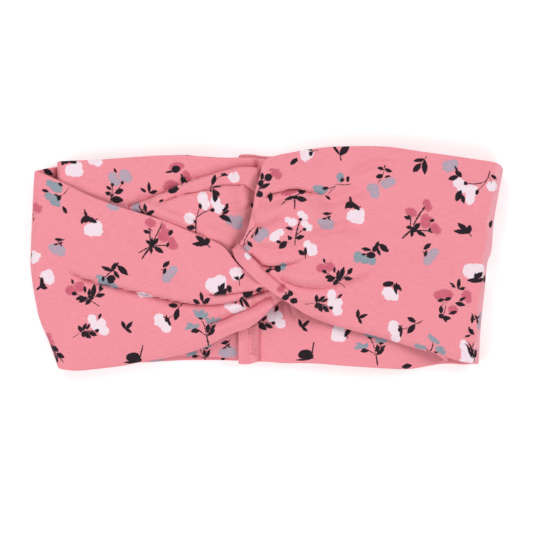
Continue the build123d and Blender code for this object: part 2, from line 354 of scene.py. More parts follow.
MOTIFS = {
    "white_cap": motif(
        white=[(-1.8, -0.6, 5.6, 6), (1.6, 1.2, 6.4, 5.4), (2.6, -1.8, 4.8, 5.2), (-0.4, -2.4, 4.6, 3.8),
            (-3, -1.4, 3.2, 4)],
        black=[(-3.4, 4.6, 4.6, 3.4, 20)],
        leaves=[(-2.8, 5, 110, 5, 1.7), (-6, 2, 65, 5, 2.4), (-4, 5.6, -24, 6.8, 2.8),
            (0.6, 3.6, 35, 2.2, 1), (0.2, 3.8, -60, 1.8, 0.9)]),
    "white_plain": motif(white=[(-1.8, 0, 5.4, 4.8), (1.6, 1.2, 5.2, 4.8), (1.8, -1.6, 4.8, 4.2)]),
    "lilac_bell": motif(
        lilac=[(-2, 1, 4.8, 3.8), (1.6, -0.4, 5.6, 5.6), (-0.4, -0.6, 5.6, 4.2), (2.2, -2.2, 4, 2.8)],
        leaves=[(-1.4, 5.2, -6, 4.8, 2), (2.6, 4.4, 35, 1.8, 0.8), (1.2, 2.8, 188, 3, 1.2),
            (0.8, 2.6, 25, 2.6, 1.3), (1.2, 3, -45, 2.2, 1)],
        stems=[(0.6, 4.8, 1.2, 2.6, 0, 0.8)]),
    "lilac_tall": motif(
        lilac=[(2.2, 2.6, 4.8, 4.2, 10), (0.6, 0.6, 5, 4.8, -25), (-0.9, -1.4, 5, 5.8, -20)],
        leaves=[(-3.4, 3.8, 40, 5, 2.6), (-2.8, 0.1, 72, 3.8, 2), (-4.2, 2.9, -18, 2.6, 0.7)]),
    "white_flat": motif(
        white=[(-3.2, -1.7, 5, 3, -8), (-0.6, -2.5, 5.6, 4.4), (2.4, -2.3, 5, 2.8, 8)],
        leaves=[(-0.2, -0.7, 75, 2.6, 1.5), (1.9, 2.4, -65, 4.6, 1.7), (3.6, 2, -46, 4.8, 2),
            (1.4, 1.8, 35, 3.4, 1.2)],
        stems=[(0, 1.6, 4, 2, 0, 0.9)]),
    "rose_tall": motif(
        rose=[(-4.8, 5, 6, 4, -12), (-3.6, 3.8, 4.6, 3.4, -20), (3.2, 9.4, 4, 4.2),
            (4.2, 7.2, 4.2, 4.2, 20), (2.4, 0.8, 4.4, 6.6, -20), (3, -1.6, 5.6, 4.8), (5, 0.6, 3.2, 3.8),
            (7.2, -3.4, 4.6, 4.6, 30), (8.2, -5, 5, 4, -15)],
        black=[(-3.2, -4.4, 3.2, 3), (6.2, 0.2, 2.4, 1.8, 30)],
        leaves=[(-3.4, -4.4, 44, 4.8, 3), (-3.8, -3.4, 178, 3.6, 2.2), (-2.4, -4.8, -30, 6.2, 2.4),
            (-4, -4.6, -96, 3.8, 2), (-4.4, 1, 160, 4.2, 2.2), (-6.8, 3.4, -28, 3, 1),
            (4.2, -5.8, 62, 2.6, 1.7), (4.2, -5.2, -18, 2.4, 1.2), (1.2, 5.2, 66, 2.6, 1.4)],
        stems=[(-3.6, -4, -9.2, -8.8, 0, 1.2), (-4.6, 1.8, -5, -3.6, 0, 0.9),
            (1.8, 6.4, -3.6, -2.6, -0.3, 1.1), (-2.8, -4.6, 4.6, -5.2, 0, 0.8)]),
    "teal_pair": motif(
        teal=[(-2.4, 5, 4.6, 3.4, -35), (0.8, 3, 6.4, 5, -35), (-1.2, 4.4, 4.4, 3.4, -35),
            (-3, -1.2, 4.8, 3.6, -30), (0, -3.2, 6.4, 5.2, -45), (1.2, -5, 3.4, 3.4)],
        black=[(2.2, -2, 2.4, 2.6)],
        leaves=[(1.6, 5.6, -38, 3.4, 1.8), (2.2, -1.6, 150, 2.8, 1.2), (2.4, -2.2, -120, 1.8, 1),
            (-3, 1, 165, 3.8, 2), (4, -6.2, -62, 4.6, 2.2)],
        stems=[(2.6, -1.4, 7, 3.2, -0.6, 0.6)]),
    "lilac_pair": motif(
        lilac=[(-3.9, 0.5, 4.8, 4.8), (-2.4, -1.9, 5.4, 4.6), (2.2, 1.2, 6, 6.2), (4, -0.2, 4.4, 4.8)],
        black=[(1, -2.4, 1.8, 1.8), (-4, -3.4, 1.8, 1.8)],
        leaves=[(-1.8, 2.4, 118, 3, 1.6), (-4.4, -6, 148, 3.4, 1.9), (-4.6, -8.2, 165, 3.4, 2.4),
            (-3, -7.8, 24, 5.2, 3), (-5.4, -10.6, -6, 7.2, 3.8), (-5.4, -9.8, 40, 2.8, 1.4)],
        stems=[(1, -2.6, -4.4, -8.8, 0.5, 0.7), (-4, -3.4, -5.2, -12.6, 0.3, 0.7)]),
    "trio": motif(
        leaves=[(-0.5, -2.9, 158, 4.2, 1.8), (0.9, -3, 105, 5.8, 2.1), (0.8, -2.9, 28, 4.4, 2.1)]),
    "fat_trio": motif(
        black=[(1.6, -0.6, 4, 2.6, -20)],
        leaves=[(2.8, -0.8, 146, 7.2, 3), (3.2, -1.2, 179, 8, 2.8), (3, -2, 88, 5, 3)],
        stems=[(3, -1.4, 4.6, -3, 0, 0.8)]),
    "rose_bouquet": motif(
        rose=[(-4.2, 8, 5.8, 4.4, -20), (2.6, 1.2, 6.2, 6.6, -8), (2.4, 5, 3, 5.4), (4.6, 2.6, 3.2, 4.4),
            (6.8, -1.6, 4.2, 5, 20), (7.4, -3.6, 5.8, 4.6, -15)],
        black=[(-3.4, -3.6, 3, 2.8)],
        leaves=[(-3.6, -3.6, 44, 5, 2.9), (-3.4, -3.2, 88, 3.6, 1.7), (-3.4, -3.2, 146, 3.8, 2.2),
            (-2.6, -4.2, -32, 6.2, 2.7), (-3.8, -4, -86, 4, 2.1), (4, -4.6, 62, 2.8, 1.9),
            (-4.2, 2.8, 160, 3.9, 2.4), (-5.6, 5.4, -30, 2.8, 1.1), (5.2, 1.2, 58, 4, 2.5)],
        stems=[(-3.4, -3.4, -8.6, -10.4, 0, 1.2), (-4.2, -4.2, -10.4, -7.4, 0, 0.8),
            (-3.6, -3.4, -4.4, 5, 0.3, 0.9), (2, 8.6, -3, -2, 0.2, 0.9),
            (-2.2, -3.8, 4.4, -3.6, 0, 0.8)]),
    "teal_fans": motif(
        teal=[(-1.4, 5.4, 6.6, 2.6, -12), (-3.8, 6.8, 3.6, 1.8, -35), (-0.8, 7, 2.6, 2.6),
            (1.4, 6, 2.8, 1.6, 25), (4.2, 2.4, 6.8, 2.4, 5), (7, 3.7, 3.6, 1.4, 30),
            (1.8, 3.8, 3, 1.6, 140), (4.4, 3.8, 2.4, 1.8), (-5.8, -0.6, 7, 2.5, 5),
            (-8.4, -1.4, 2.8, 1.3, 10), (-6.8, 0.8, 3.4, 1.6, -15), (-3.6, 0.4, 2.6, 1.4, 20)],
        black=[(-1.6, 4, 2.6, 1.1, -10), (4.2, 1.2, 2.6, 1.1), (-4.6, -1.9, 2.6, 1.1, 10)],
        leaves=[(-1.6, -2.5, 184, 5, 2.1), (2, -3.6, 84, 4.4, 2.4), (1.8, -4.8, 38, 5.2, 2.2),
            (3.2, -2.8, 44, 4.4, 1.8)],
        stems=[(2.4, -10.2, 1.6, -4.8, 0, 1), (1.6, -5.4, -1.5, 4, -0.5, 0.7),
            (1.6, -4.8, 4.2, 1.2, -0.2, 0.7), (1.6, -5.2, -4.4, -1.8, -0.5, 0.7)]),
    "white_sprig": motif(
        white=[(-0.6, 4.2, 4.4, 5.2), (0.6, 1.6, 3.8, 5.8), (4.2, 2, 4.8, 5.6), (5.6, -1.6, 5.4, 4.8),
            (2.6, -0.6, 2.6, 3)],
        black=[(2, -1.6, 2.2, 1.8, 20), (-4.2, -2.6, 3.6, 1.8)],
        leaves=[(2.6, 4, 66, 3.8, 1.7), (-5.8, -2.4, 118, 4, 2.4), (-5.6, -1.8, 62, 4.6, 2.2),
            (-3.8, -1.2, 55, 4, 1.8), (-6, -2.4, -62, 3.2, 2), (-4.8, -2.4, -40, 4.8, 2.8),
            (-2.6, -2.2, -22, 5, 2.7)],
        stems=[(2.2, -1.6, -6.4, -2.4, -0.3, 0.6), (-6.2, -2.2, -11.2, -5.6, 0.2, 0.5)]),
    "white_stalk": motif(
        white=[(-4.8, -0.2, 5.4, 4.6), (-3, -3, 6, 4.4), (-1.2, -5.4, 5, 4.4), (-5.4, -2.4, 3.6, 3.4),
            (-1.2, -2.4, 3.4, 3)],
        black=[(-0.8, -1, 2.6, 2.6)],
        leaves=[(-0.4, -0.6, -72, 4, 1.7), (-3.2, 0.6, -12, 3.6, 1.1), (-1, 0, 95, 1.8, 0.9),
            (5, 5.6, 174, 5.2, 2.7), (5, 4.8, -107, 6.4, 3.2)],
        stems=[(7.6, 7.8, 4.6, 4.6, 0.3, 0.7), (5, 5.2, 0, 0, 0.7, 0.5)]),
    "bud": motif(
        black=[(-0.6, 0.4, 7.4, 4.8, 5), (1.6, -0.8, 4.4, 3)],
        leaves=[(3.8, -2.1, 181, 9.8, 1.6)],
        stems=[(2.8, -0.6, 4.5, 6.4, 0, 1)]),
    "rose_fern": motif(
        rose=[(-7, 1.4, 5.2, 5, 30), (-2.4, 3, 5.6, 5.4, -20), (-4.8, 1.4, 3.4, 3.6)],
        black=[(-4.8, -0.2, 2.6, 2), (3.4, -2.2, 3.4, 2.2, -30)],
        leaves=[(-5.2, 4.2, 114, 3.2, 1.6), (0.6, -0.2, 95, 3.8, 1.7), (4.2, -3.2, 82, 7.8, 3),
            (7.8, 0.6, 62, 4.6, 2.8), (6, -1.8, 12, 5, 2.3), (2.6, -2.2, 88, 4.6, 2.1),
            (-0.2, -1.6, 202, 4.4, 2.3), (1.8, -2, 210, 5.2, 2.9), (3.6, -3, 226, 4, 2.6)],
        stems=[(8.6, -7.4, -4.4, -0.2, -0.6, 0.7), (5.4, -2.4, 8.6, 1.6, 0, 0.7)]),
    "teal_wedge": motif(
        teal=[(-7.6, -1.8, 5, 4.2, -15), (-4.6, -3.2, 5.6, 4, -22), (-1.2, -4.6, 6.4, 3, -24),
            (-8, -3.4, 3.4, 3.4)],
        black=[(-1.6, -1.8, 4.4, 3.8), (-5.6, -1.6, 1.7, 2.2)],
        leaves=[(-0.6, 1.8, 156, 6.8, 2.3), (-1.4, 1.6, 68, 5.4, 2.6), (-0.6, 2.4, -52, 5.2, 2.3),
            (1.2, 5.2, -42, 8, 3.4), (0.4, 4.2, 58, 3, 1.5)],
        stems=[(-5.2, -1.2, -1, 2.4, 0, 0.8)]),
    "teal_fern": motif(
        teal=[(-7.4, -1.6, 5, 4.4), (-4.4, -3.4, 6, 4.6), (-0.8, -4, 4.6, 4.8), (-8, -3.4, 3.4, 3.4)],
        black=[(-1.2, -1.2, 4.8, 3.2), (1, 2, 3.6, 2.8, 40)],
        leaves=[(-1, 1.2, 171, 5.2, 2.2), (-3.2, -0.8, 185, 3, 1.4), (1, 2.2, 62, 4, 2.3),
            (2.8, 4.4, -38, 6.6, 3.4), (1.6, 2.4, -62, 4.4, 2)],
        stems=[(-1, -0.8, 3.4, 4, 0.4, 0.9)]),
    "white_big": motif(
        white=[(-2.4, -0.6, 6.8, 7.4, 20), (1.2, 1.6, 7, 5.4, 15), (0, -2.4, 6, 5), (3, -0.4, 4, 4.4)],
        leaves=[(-2.4, -5.6, 14, 8, 2.7), (1.2, -4.6, 62, 6, 2.7), (1.8, -4.6, 104, 4, 1.8),
            (2.6, -4.6, 36, 3.8, 2), (7.2, -4.6, 112, 4.4, 2.8)]),
    "white_small": motif(
        white=[(-0.8, 0.8, 5.4, 5), (0.8, 1.6, 4.4, 3.6), (0.2, -1.6, 4.6, 3.8), (2, -0.4, 2.6, 3)],
        black=[(0.6, -2, 1.8, 1.8)],
        leaves=[(1.8, -3.3, 150, 3.6, 1.6), (1.6, -3.2, 52, 4.8, 1.8)],
        stems=[(1.6, -2.8, 1.8, -6.2, 0, 0.6)]),
    "white_branch": motif(
        white=[(-0.2, 5.2, 5.4, 5.8), (1.2, 2.2, 4.8, 5.8), (6.4, 3.4, 4.8, 6.8, 20), (8.4, 0, 5.2, 5.2),
            (-7, -4.6, 5.8, 5.2), (-6.8, -6.2, 4, 3.2)],
        black=[(4.8, -0.6, 2.4, 1.8, 10)],
        leaves=[(-1.2, -0.4, 98, 3.4, 2.1), (-4.2, -9.4, 176, 4.2, 2.5), (-4.2, -7.6, 120, 2.2, 1.2),
            (6.4, 9.4, -92, 6.4, 3.2)],
        stems=[(-3.6, -12.4, -3, -3.6, 0.8, 0.9), (-3.2, -4.4, 4.6, -0.8, 0.8, 0.8),
            (-3.2, -4.6, -1.4, 1, 0.2, 0.7)]),
    "white_twig": motif(
        white=[(5, 2.8, 3.8, 3.6), (7.2, 2.4, 3.6, 4.8), (6, 1, 3.8, 2.6)],
        leaves=[(-5, -1.8, 70, 5.4, 2.6), (-0.6, 3.4, 5, 3.8, 1.4), (-5, -2.8, 2, 5.6, 2.1),
            (-4, -4, -80, 6.4, 3.4), (-5.2, -4.4, -100, 3.2, 1.9), (-3, -4.6, -58, 3.6, 2.2)],
        stems=[(-6.4, -4.6, -3.4, 1, 0.2, 0.8), (-3.6, 0.8, 3.4, 3.2, 0.9, 0.6)]),
    "mixed_branch": motif(
        white=[(-5.4, -0.2, 5.6, 5.2), (-3.6, -2.6, 5.2, 5.8), (0.8, -4.4, 6, 7), (0.4, -8.2, 4.8, 5.6),
            (2.8, -3.4, 3, 4.2), (11.4, -1.8, 5.2, 5)],
        lilac=[(-10.6, 8.4, 6.4, 6), (-8, 9.4, 5, 5.2)],
        black=[(-1.8, -0.4, 2.2, 2), (4, -4.8, 1.8, 2.8, -20)],
        leaves=[(-7.4, 8.8, -62, 4, 1.5), (-7.2, 6.4, -45, 5.2, 3), (-5.4, 3.2, 196, 5.6, 2.9),
            (-4, -3.6, -115, 6.6, 3.6), (-3.6, -6, -80, 4.6, 2.5), (11.2, 4.2, -45, 3.8, 2)],
        stems=[(-1.6, -0.4, 8.6, 0.6, -0.7, 0.7), (8, 0.2, 10.6, 6.2, -0.5, 0.9),
            (8.6, 0.6, 4, -4.2, 0.3, 0.6), (10.2, 3.2, 11.6, -0.4, 0, 0.5)]),
    "teal_twig": motif(
        teal=[(3.2, 3.4, 3.8, 5), (-7, -2.6, 7.6, 3.2, -10), (-6.4, -4, 4, 2.8)],
        black=[(4.2, 2, 2.2, 1.8, 30), (-4.4, -2.3, 3.2, 1.6, 5)],
        leaves=[(4.4, 1.4, 105, 2.2, 1), (7.1, 0.8, 92, 3.4, 2), (-4.6, -5.4, -40, 4, 1.8)],
        stems=[(8.6, 0, 1.4, 0, 0.4, 0.6), (1.6, 0.1, -3.2, -2.6, 0.4, 0.5),
            (1.4, -0.2, -2.8, -4.4, 0.3, 0.5), (3.6, 0.4, 4.4, 2, 0, 0.6)]),
    "rose_sprig": motif(
        rose=[(-2, 2.6, 8, 4.2, 8), (2.2, 3.4, 4, 2.8), (-5.6, 2, 3.4, 2.6)],
        black=[(4.4, 2.6, 3.8, 3.2), (1.2, -0.6, 3.4, 2.2)],
        leaves=[(-4.2, -2, 20, 6, 2.4), (1, -0.8, -12, 6.2, 3.2)],
        stems=[(-5.6, -4.4, 5, 2, 0.6, 0.8), (0.6, -6.2, 0.8, -1.4, 0, 0.9)]),
    "rose_leafy": motif(
        rose=[(2, 4.2, 5, 4, 20), (3.6, 2.8, 4, 4.4), (0.6, 5.6, 3.4, 2)],
        black=[(-1.4, 1.8, 3.8, 4.2, -10), (-5.2, -1, 2.8, 3.4, -20), (-5.6, -6.4, 3.4, 3)],
        leaves=[(-4.6, 0, 88, 4.6, 2.2), (-5.6, -3.8, 26, 5.8, 2.4), (-0.6, -4.8, -88, 5.6, 3)],
        stems=[(-7.2, -7.8, -3, 1, 0.5, 0.9)]),
    "rose_dark": motif(
        rose=[(-1, 5.8, 8, 4.4, 10), (-3.8, -3.2, 7.4, 5, -5), (4, 1, 4.2, 6.4, 20),
            (-6.2, -4.2, 3.6, 3.4)],
        black=[(-1.4, 4.6, 4.6, 3.7, 15), (2.4, -0.8, 2.8, 4, 25)],
        leaves=[(-2.6, 3.6, 190, 4.2, 1.5), (2, 0.2, 110, 2.4, 1.3), (2.6, -1, -40, 3, 1.9),
            (-5.2, -7.4, 22, 6.2, 2.6), (-3, -6.6, 45, 4.2, 2.1)],
        stems=[(1.8, -4.4, 2.6, -1.6, 0, 0.7)]),
    "leaf": motif(leaves=[(-2.9, 0, 0, 5.8, 2.8)]),
    "tulip": motif(
        leaves=[(-0.3, -2.2, 52, 8.2, 3.9), (0.1, -2, 126, 7, 1.7)],
        stems=[(-0.1, -1.6, 0.4, -4.8, 0, 0.9)]),
    "rose_triple": motif(
        rose=[(-6.4, 3.6, 6.2, 4.6), (-2.4, 4, 6.4, 4.6), (-4.4, 5.2, 5, 2.8), (7.5, 3.2, 5.4, 5.6),
            (8.4, 1.4, 3.4, 4), (0.6, -4, 5, 5)],
        black=[(-5.4, -7.2, 2.8, 2.4)],
        leaves=[(-3.8, 1.6, 196, 3.8, 2.1), (-4, 1, 18, 4.2, 2.3), (-5.4, -6.4, 92, 4.8, 2.4),
            (-5.8, -7.6, -10, 5.8, 2.3), (-4.6, -7.8, -48, 3.4, 1.6), (1.6, -0.4, -14, 5.4, 2.6),
            (3.6, 0.6, 28, 3.8, 1.9), (-1.8, -6.2, 16, 5, 2)],
        stems=[(-5.6, -8.4, -3.8, 1.2, 0.5, 0.6), (-4.8, -8, -3, 0.8, -0.5, 0.6)]),
    "bunch": motif(
        white=[(-1.6, 2.6, 4.2, 5.4), (-0.8, -1.6, 4.4, 5.6), (1.2, -4.2, 5, 5), (-1.6, -5.2, 3.6, 2.8)],
        leaves=[(3, -4.4, 112, 7, 1.7), (3.8, -4.8, 104, 8.4, 1.6), (4.2, -4.2, 88, 5, 1.8),
            (2.4, -0.4, 128, 5.4, 1.2), (2.6, 0.4, 75, 4.4, 0.8), (0.8, 4.4, -60, 4.6, 1),
            (-1.2, 7, 12, 3.6, 1.4), (0.8, 12, -56, 5, 2.6)],
        stems=[(3.4, 1, 3.8, -6.4, 0, 0.6)]),
    "white_spray": motif(
        white=[(1, 7.8, 3.4, 3.2), (2.4, 6, 4.6, 3.8, -30), (-5.2, 4.4, 3.6, 3.2), (-3, 3.2, 4.6, 4),
            (3, 2.6, 3.8, 3.6), (4.6, 0.8, 4.2, 4)],
        black=[(1, 4.8, 1.9, 1.7), (2.8, -0.3, 1.9, 1.6)],
        leaves=[(-2.6, -0.4, 166, 4.2, 1.8), (-3, -4.5, 176, 4, 2.4), (-1.8, -4.6, 13, 5, 2.4)],
        stems=[(-2, -7.8, 1, 4.8, 0.5, 0.9), (-1.4, -3, 2.8, -0.1, 0, 0.7),
            (-3.4, 0.4, -3.6, -2, 0, 0.5)]),
    "teal_bud": motif(
        teal=[(2.6, 1.2, 4.4, 4.6, 10)],
        black=[(0.2, -0.2, 3, 3.4)],
        leaves=[(-0.6, 0.2, 70, 2.6, 1.2), (-2.6, -0.8, 190, 4, 1.6), (-3, -0.6, 130, 2.6, 1.2)],
        stems=[(-3, -0.8, 0.2, -0.8, 0, 0.75)]),
    "rose_single": motif(
        rose=[(-0.8, 0.4, 3.8, 5, 10), (1, -0.6, 3.4, 4.4, -15)],
        leaves=[(-1.4, -2.8, 200, 2, 1.2), (-1.6, -6.8, 85, 2.6, 1.2)]),
    "white_dome": motif(
        white=[(-1.4, 1.4, 5.8, 5), (1.6, 0, 5, 5.6), (-0.8, -0.8, 4.8, 4), (2.8, -1.6, 2.8, 3)],
        black=[(-1.2, 5.3, 5.6, 2.8, 5), (2.8, 3.8, 3, 3.4, 40)],
        leaves=[(2.4, 5.6, -48, 5, 2.2), (1.6, 4.4, -68, 4.6, 1.8), (2.8, 4.4, 80, 2, 1)]),
    "white_bean": motif(
        white=[(-1, -0.4, 5.8, 4.6, 25), (1.4, 1.6, 4.6, 3.8), (-2.2, -1.4, 3.4, 3)],
        black=[(0.8, -3, 2.6, 1.6, -15)],
        leaves=[(0.8, -6.2, 40, 5.6, 3.4)],
        stems=[(3.4, -3.4, 6, -3.2, 0, 0.4)]),
    "white_bud": motif(
        white=[(-1.6, 2, 4, 4.4), (0.6, -0.6, 5.6, 6.4), (1.6, -1.6, 3.8, 4.6)],
        leaves=[(-2.6, -4, 88, 4.8, 2), (-2.8, -3.4, 148, 4, 2.6)],
        stems=[(-2.8, -3, -2.6, -5, 0, 0.7)]),
    "sliver": motif(white=[(0, 0, 8.6, 2.8, -12), (-1.6, -0.3, 4, 2.6)]),
    "lilac_leafy": motif(
        lilac=[(-2, 1, 4.8, 5.2), (1.2, -0.6, 5.6, 6.4), (2.2, 1.4, 4, 4.4)],
        black=[(-3.6, 1.8, 3.2, 2.4, -20)],
        leaves=[(-5.8, 5.2, 58, 5, 3), (-7.6, 3.4, -18, 5.6, 3), (-6, 4, 30, 4, 2),
            (-3.6, 2.4, -50, 3.4, 1.4)]),
    "lilac_low": motif(
        lilac=[(-4, -0.9, 6.2, 4.6), (-3, -3.8, 5, 5.6), (2.6, 1, 5.4, 4.8), (4.8, 2, 5.4, 4.4, 10)],
        black=[(-0.6, 4.9, 3.8, 2.4, 10)],
        leaves=[(1.8, 8.4, 172, 3.6, 1.9), (1.8, 8.6, -22, 4.4, 2), (1.8, 4, 14, 3.6, 1.4, 0.3),
            (2, 8.8, 90, 1.8, 0.8)],
        stems=[(-1.6, 1.2, 2, 9.4, -0.6, 0.6)]),
    "lilac_twig": motif(
        lilac=[(3.4, -0.2, 5.6, 4.8), (1, -2.4, 4.6, 4.2), (-5.2, -8, 3.8, 3.4)],
        leaves=[(0.6, 2.8, -105, 5, 1.7), (1, 2.2, -20, 1.4, 1), (-1.6, -0.6, -120, 2.6, 1.3),
            (-4.8, -4, -50, 4.2, 2.3)],
        stems=[(-0.2, 3.8, -6.8, -6.4, -1.2, 0.7), (0.2, 2.4, -2.2, -1.8, 0, 0.5),
            (-4.4, -3.6, -6.4, -6.4, 0, 0.6)]),
    "trio_v": motif(
        leaves=[(-0.9, -1.8, 114, 5, 2.2), (-1.1, -1.8, 48, 5.8, 2.2), (-1.2, -1, -33, 4.2, 1.9)]),
    "trio_low": motif(
        leaves=[(2.2, 3.2, -90, 8.2, 3.2), (0.4, 1, -132, 6.4, 3.4), (2.4, 3, 188, 6.2, 2.3)],
        stems=[(1.8, 2.6, 3.2, 4.4, 0, 0.7), (0.2, 0.8, 1.6, 2.8, 0, 0.7)]),
    "leaf_knot": motif(
        black=[(-2, 0.4, 4.2, 3.2, 35), (0.4, 2.2, 3, 2.8), (2.4, -1.4, 3.2, 3)],
        leaves=[(-1.4, 2, 120, 2.4, 1.4), (0, -0.6, -50, 3.4, 1.8), (-3.2, -0.4, 205, 2.2, 1.4)]),
    "teal_spread": motif(
        teal=[(0.6, 4.2, 5.4, 2.6, -35), (-0.8, 5.7, 2.8, 1.8, -50), (2.6, 2.8, 2.6, 1.8, -30),
            (-5.6, 0.6, 6.4, 2.2, -12), (-7.9, 1.5, 3.2, 1.8, -25), (3.6, -0.8, 4.4, 2.6, -38),
            (5.8, -2.2, 4.4, 2.2, -15), (4.8, -0.2, 3, 1.6, -25)],
        black=[(2.2, -2.2, 2, 1.4, -35)],
        stems=[(0.4, 2.8, -0.8, -1.6, 0.4, 0.9), (-0.8, -1.2, -0.8, -8, 0, 0.9),
            (-2.6, -0.4, -0.8, -5, 0.3, 0.7), (0, -6, 2.6, -2.6, 0, 0.7)]),
    "rose_low": motif(
        rose=[(-4, 4.4, 4.4, 6, -15), (-2.2, 2.4, 3.4, 4)],
        leaves=[(-3.8, 2.6, -70, 5.6, 2.8), (-2.6, 1.6, -38, 5, 2.6), (-1.2, -2, -62, 5.4, 2.6),
            (0.6, -1.8, -40, 4.4, 2.2)],
        stems=[(-3.4, 1.8, 3.6, -6.6, 0.3, 0.8)]),
}

Spot = namedtuple("Spot", "name x y turn size", defaults=(0, 1))  # where a motif lies on the band


def placed(rows):
    """The spots from rows of a motif's name, its place, and where they aren't 0 and 1 its turn and size."""
    return [Spot(*row) for row in rows]


LEFT_OUTER = placed([
    ("teal_pair", -108.2, 33), ("white_cap", -88.8, 15.5), ("lilac_bell", -107.2, 4.6),
    ("rose_bouquet", -55.4, 10.2), ("fat_trio", -33.6, 8.4), ("white_cap", -118.8, 0.6, 60, 0.66),
    ("white_cap", -111.9, -9.9, 113, 0.8), ("rose_fern", -93.4, -17.6), ("teal_wedge", -77.8, -8.6),
    ("sliver", -62.2, -18.4), ("lilac_tall", -50, -8.4), ("white_big", -25.6, -13),
    ("white_small", -15.8, -8), ("trio", -33.6, -19.6), ("white_flat", -16, -23),
    ("leaf", -10, -17.8, 20, 1.15), ("leaf", -4.6, -15.6, 30, 0.7), ("white_stalk", -50.2, -30.2),
    ("teal_fans", -32.4, -34.4), ("white_sprig", -88.7, -35.2), ("trio_v", -71.2, -34.6),
    ("rose_low", -107.8, -45.9, 0, 1.1), ("bud", -67.9, -50.6), ("rose_single", -117.4, 25.8),
    ("lilac_bell", -78.6, 26.6, 10, 0.7),
])
LEFT_INNER = placed([
    ("white_cap", -98.8, 45.8, 4, 0.95), ("white_plain", -87.6, 50.2, 0, 0.95), ("lilac_pair", -75, 41.2),
    ("trio", -60.4, 36.6, -12), ("rose_dark", -45.2, 41), ("white_twig", -23.2, 39.2),
    ("white_branch", -32.6, 25.4), ("lilac_leafy", -16.9, 18.7), ("lilac_bell", -66.4, 25, -70, 0.9),
    ("leaf", -59.4, 23.8, 15, 0.8), ("leaf", -7.9, 27.2, 110, 0.6), ("leaf", -40.6, 53, 30, 0.4),
    ("leaf", -54.2, 29.6, 35, 0.55),
])
RIGHT_OUTER = placed([
    ("rose_leafy", 2.2, 39.2), ("leaf", 13.8, 49.2, 42), ("white_small", 20.2, 52.8, 95),
    ("tulip", 37.3, 54.4), ("teal_twig", 34, 38), ("lilac_low", 58, 37), ("rose_sprig", 13.2, 31.4),
    ("white_cap", 45.1, 22.3, -8, 0.95), ("lilac_bell", 29.7, 17.8, 6, 0.95), ("white_spray", 16, 15),
    ("white_bean", 5.2, 11.6), ("white_bud", 22, 5.2), ("teal_fern", 54, 3), ("trio_low", 78.2, 47.6),
    ("mixed_branch", 103, 38.6), ("rose_tall", 78, 19), ("fat_trio", 99.8, 14.6, -5),
    ("leaf", 113.9, 17.7, 75, 0.8), ("lilac_tall", 83, 0.8), ("rose_fern", 33.5, -7.4, -10, 0.94),
    ("white_dome", 62.8, -18.4), ("white_sprig", 31.5, -22.7, -26), ("trio_v", 47.8, -29.4, -27),
    ("white_stalk", 69.1, -35.7, -24), ("trio", 97.6, -12.6, -22), ("white_big", 105.6, -6.4, -16),
    ("rose_triple", 94.2, -22.2), ("teal_spread", 84.2, -45.4), ("bunch", 101.8, -46.8),
    ("lilac_bell", 109.6, -32, 90), ("leaf_knot", 11.6, -19.8), ("teal_bud", 5.4, -5.2),
    ("lilac_twig", -5, 13), ("white_plain", -9.6, 1.2, -40, 0.42), ("rose_single", 7.4, -15, 80, 0.8),
])
BACK_INNER = placed([
    ("lilac_bell", -20.4, -48, 24), ("white_sprig", 1.3, -31.5, -4), ("trio_v", 18.9, -34, -5),
    ("white_cap", 37.2, -38, -98, 0.95), ("bud", 20.2, -49.4, 5), ("teal_fans", 54.2, -44.6),
    ("leaf", 71.4, -55.2, 10), ("teal_fans", -34, -47.6, 10, 0.8), ("lilac_bell", -57.4, -52, 0, 0.9),
    ("leaf", -22.6, -51.6, 10, 0.6), ("leaf", -6.2, -24.4, 120, 0.8), ("leaf", -112.5, 44.6, -35),
])
YARD = LEFT_OUTER + RIGHT_OUTER
CLEAR_YARD = [spot for spot in YARD if spot.y > -16]  # leaves the cloth seen below the knot plain
BACK_YARD = BACK_INNER + CLEAR_YARD


# ---------------------------------------------------------------- shader nodes
INK_WOBBLE = {"white": 1.6, "lilac": 1.2, "teal": 2.0, "rose": 1.5, "black": 0.5}  # how uneven its edge is
INK_SOFT = {"white": 0.18, "lilac": 0.22, "teal": 0.40, "rose": 0.40, "black": 0.18}  # how soft it is
INK_HOLD = {"white": 0.99, "lilac": 0.96, "teal": 0.95, "rose": 0.82, "black": 1.0}  # how much it covers
INK_WORN = {"black": (0.55, 0.75), "white": (0.51, 0.68)}  # the grain where wear begins, and is full
WORN_ELSE = (0.44, 0.70)
INK_SPREAD = -0.11  # how far a black stroke creeps into the knit, or draws in where it is below 0
ROSE_DEPTH = 0.28  # how much more rose ink lies in the middle of a petal than along its edge
WALE = 0.72  # one column of knit stitches
COURSE = 0.52  # one row of them
PINK_DARK = (0.722, 0.236, 0.282)
PINK_LIGHT = (0.770, 0.272, 0.319)
PINK_WORN = (0.745, 0.266, 0.307)
# the colour of a painted highlight along the right strip's side fold
PINK_FOLD_HIGHLIGHT = (0.76, 0.42, 0.47)
THREAD_DARK = (0.46, 0.09, 0.14)
THREAD_LIGHT = (0.74, 0.27, 0.34)


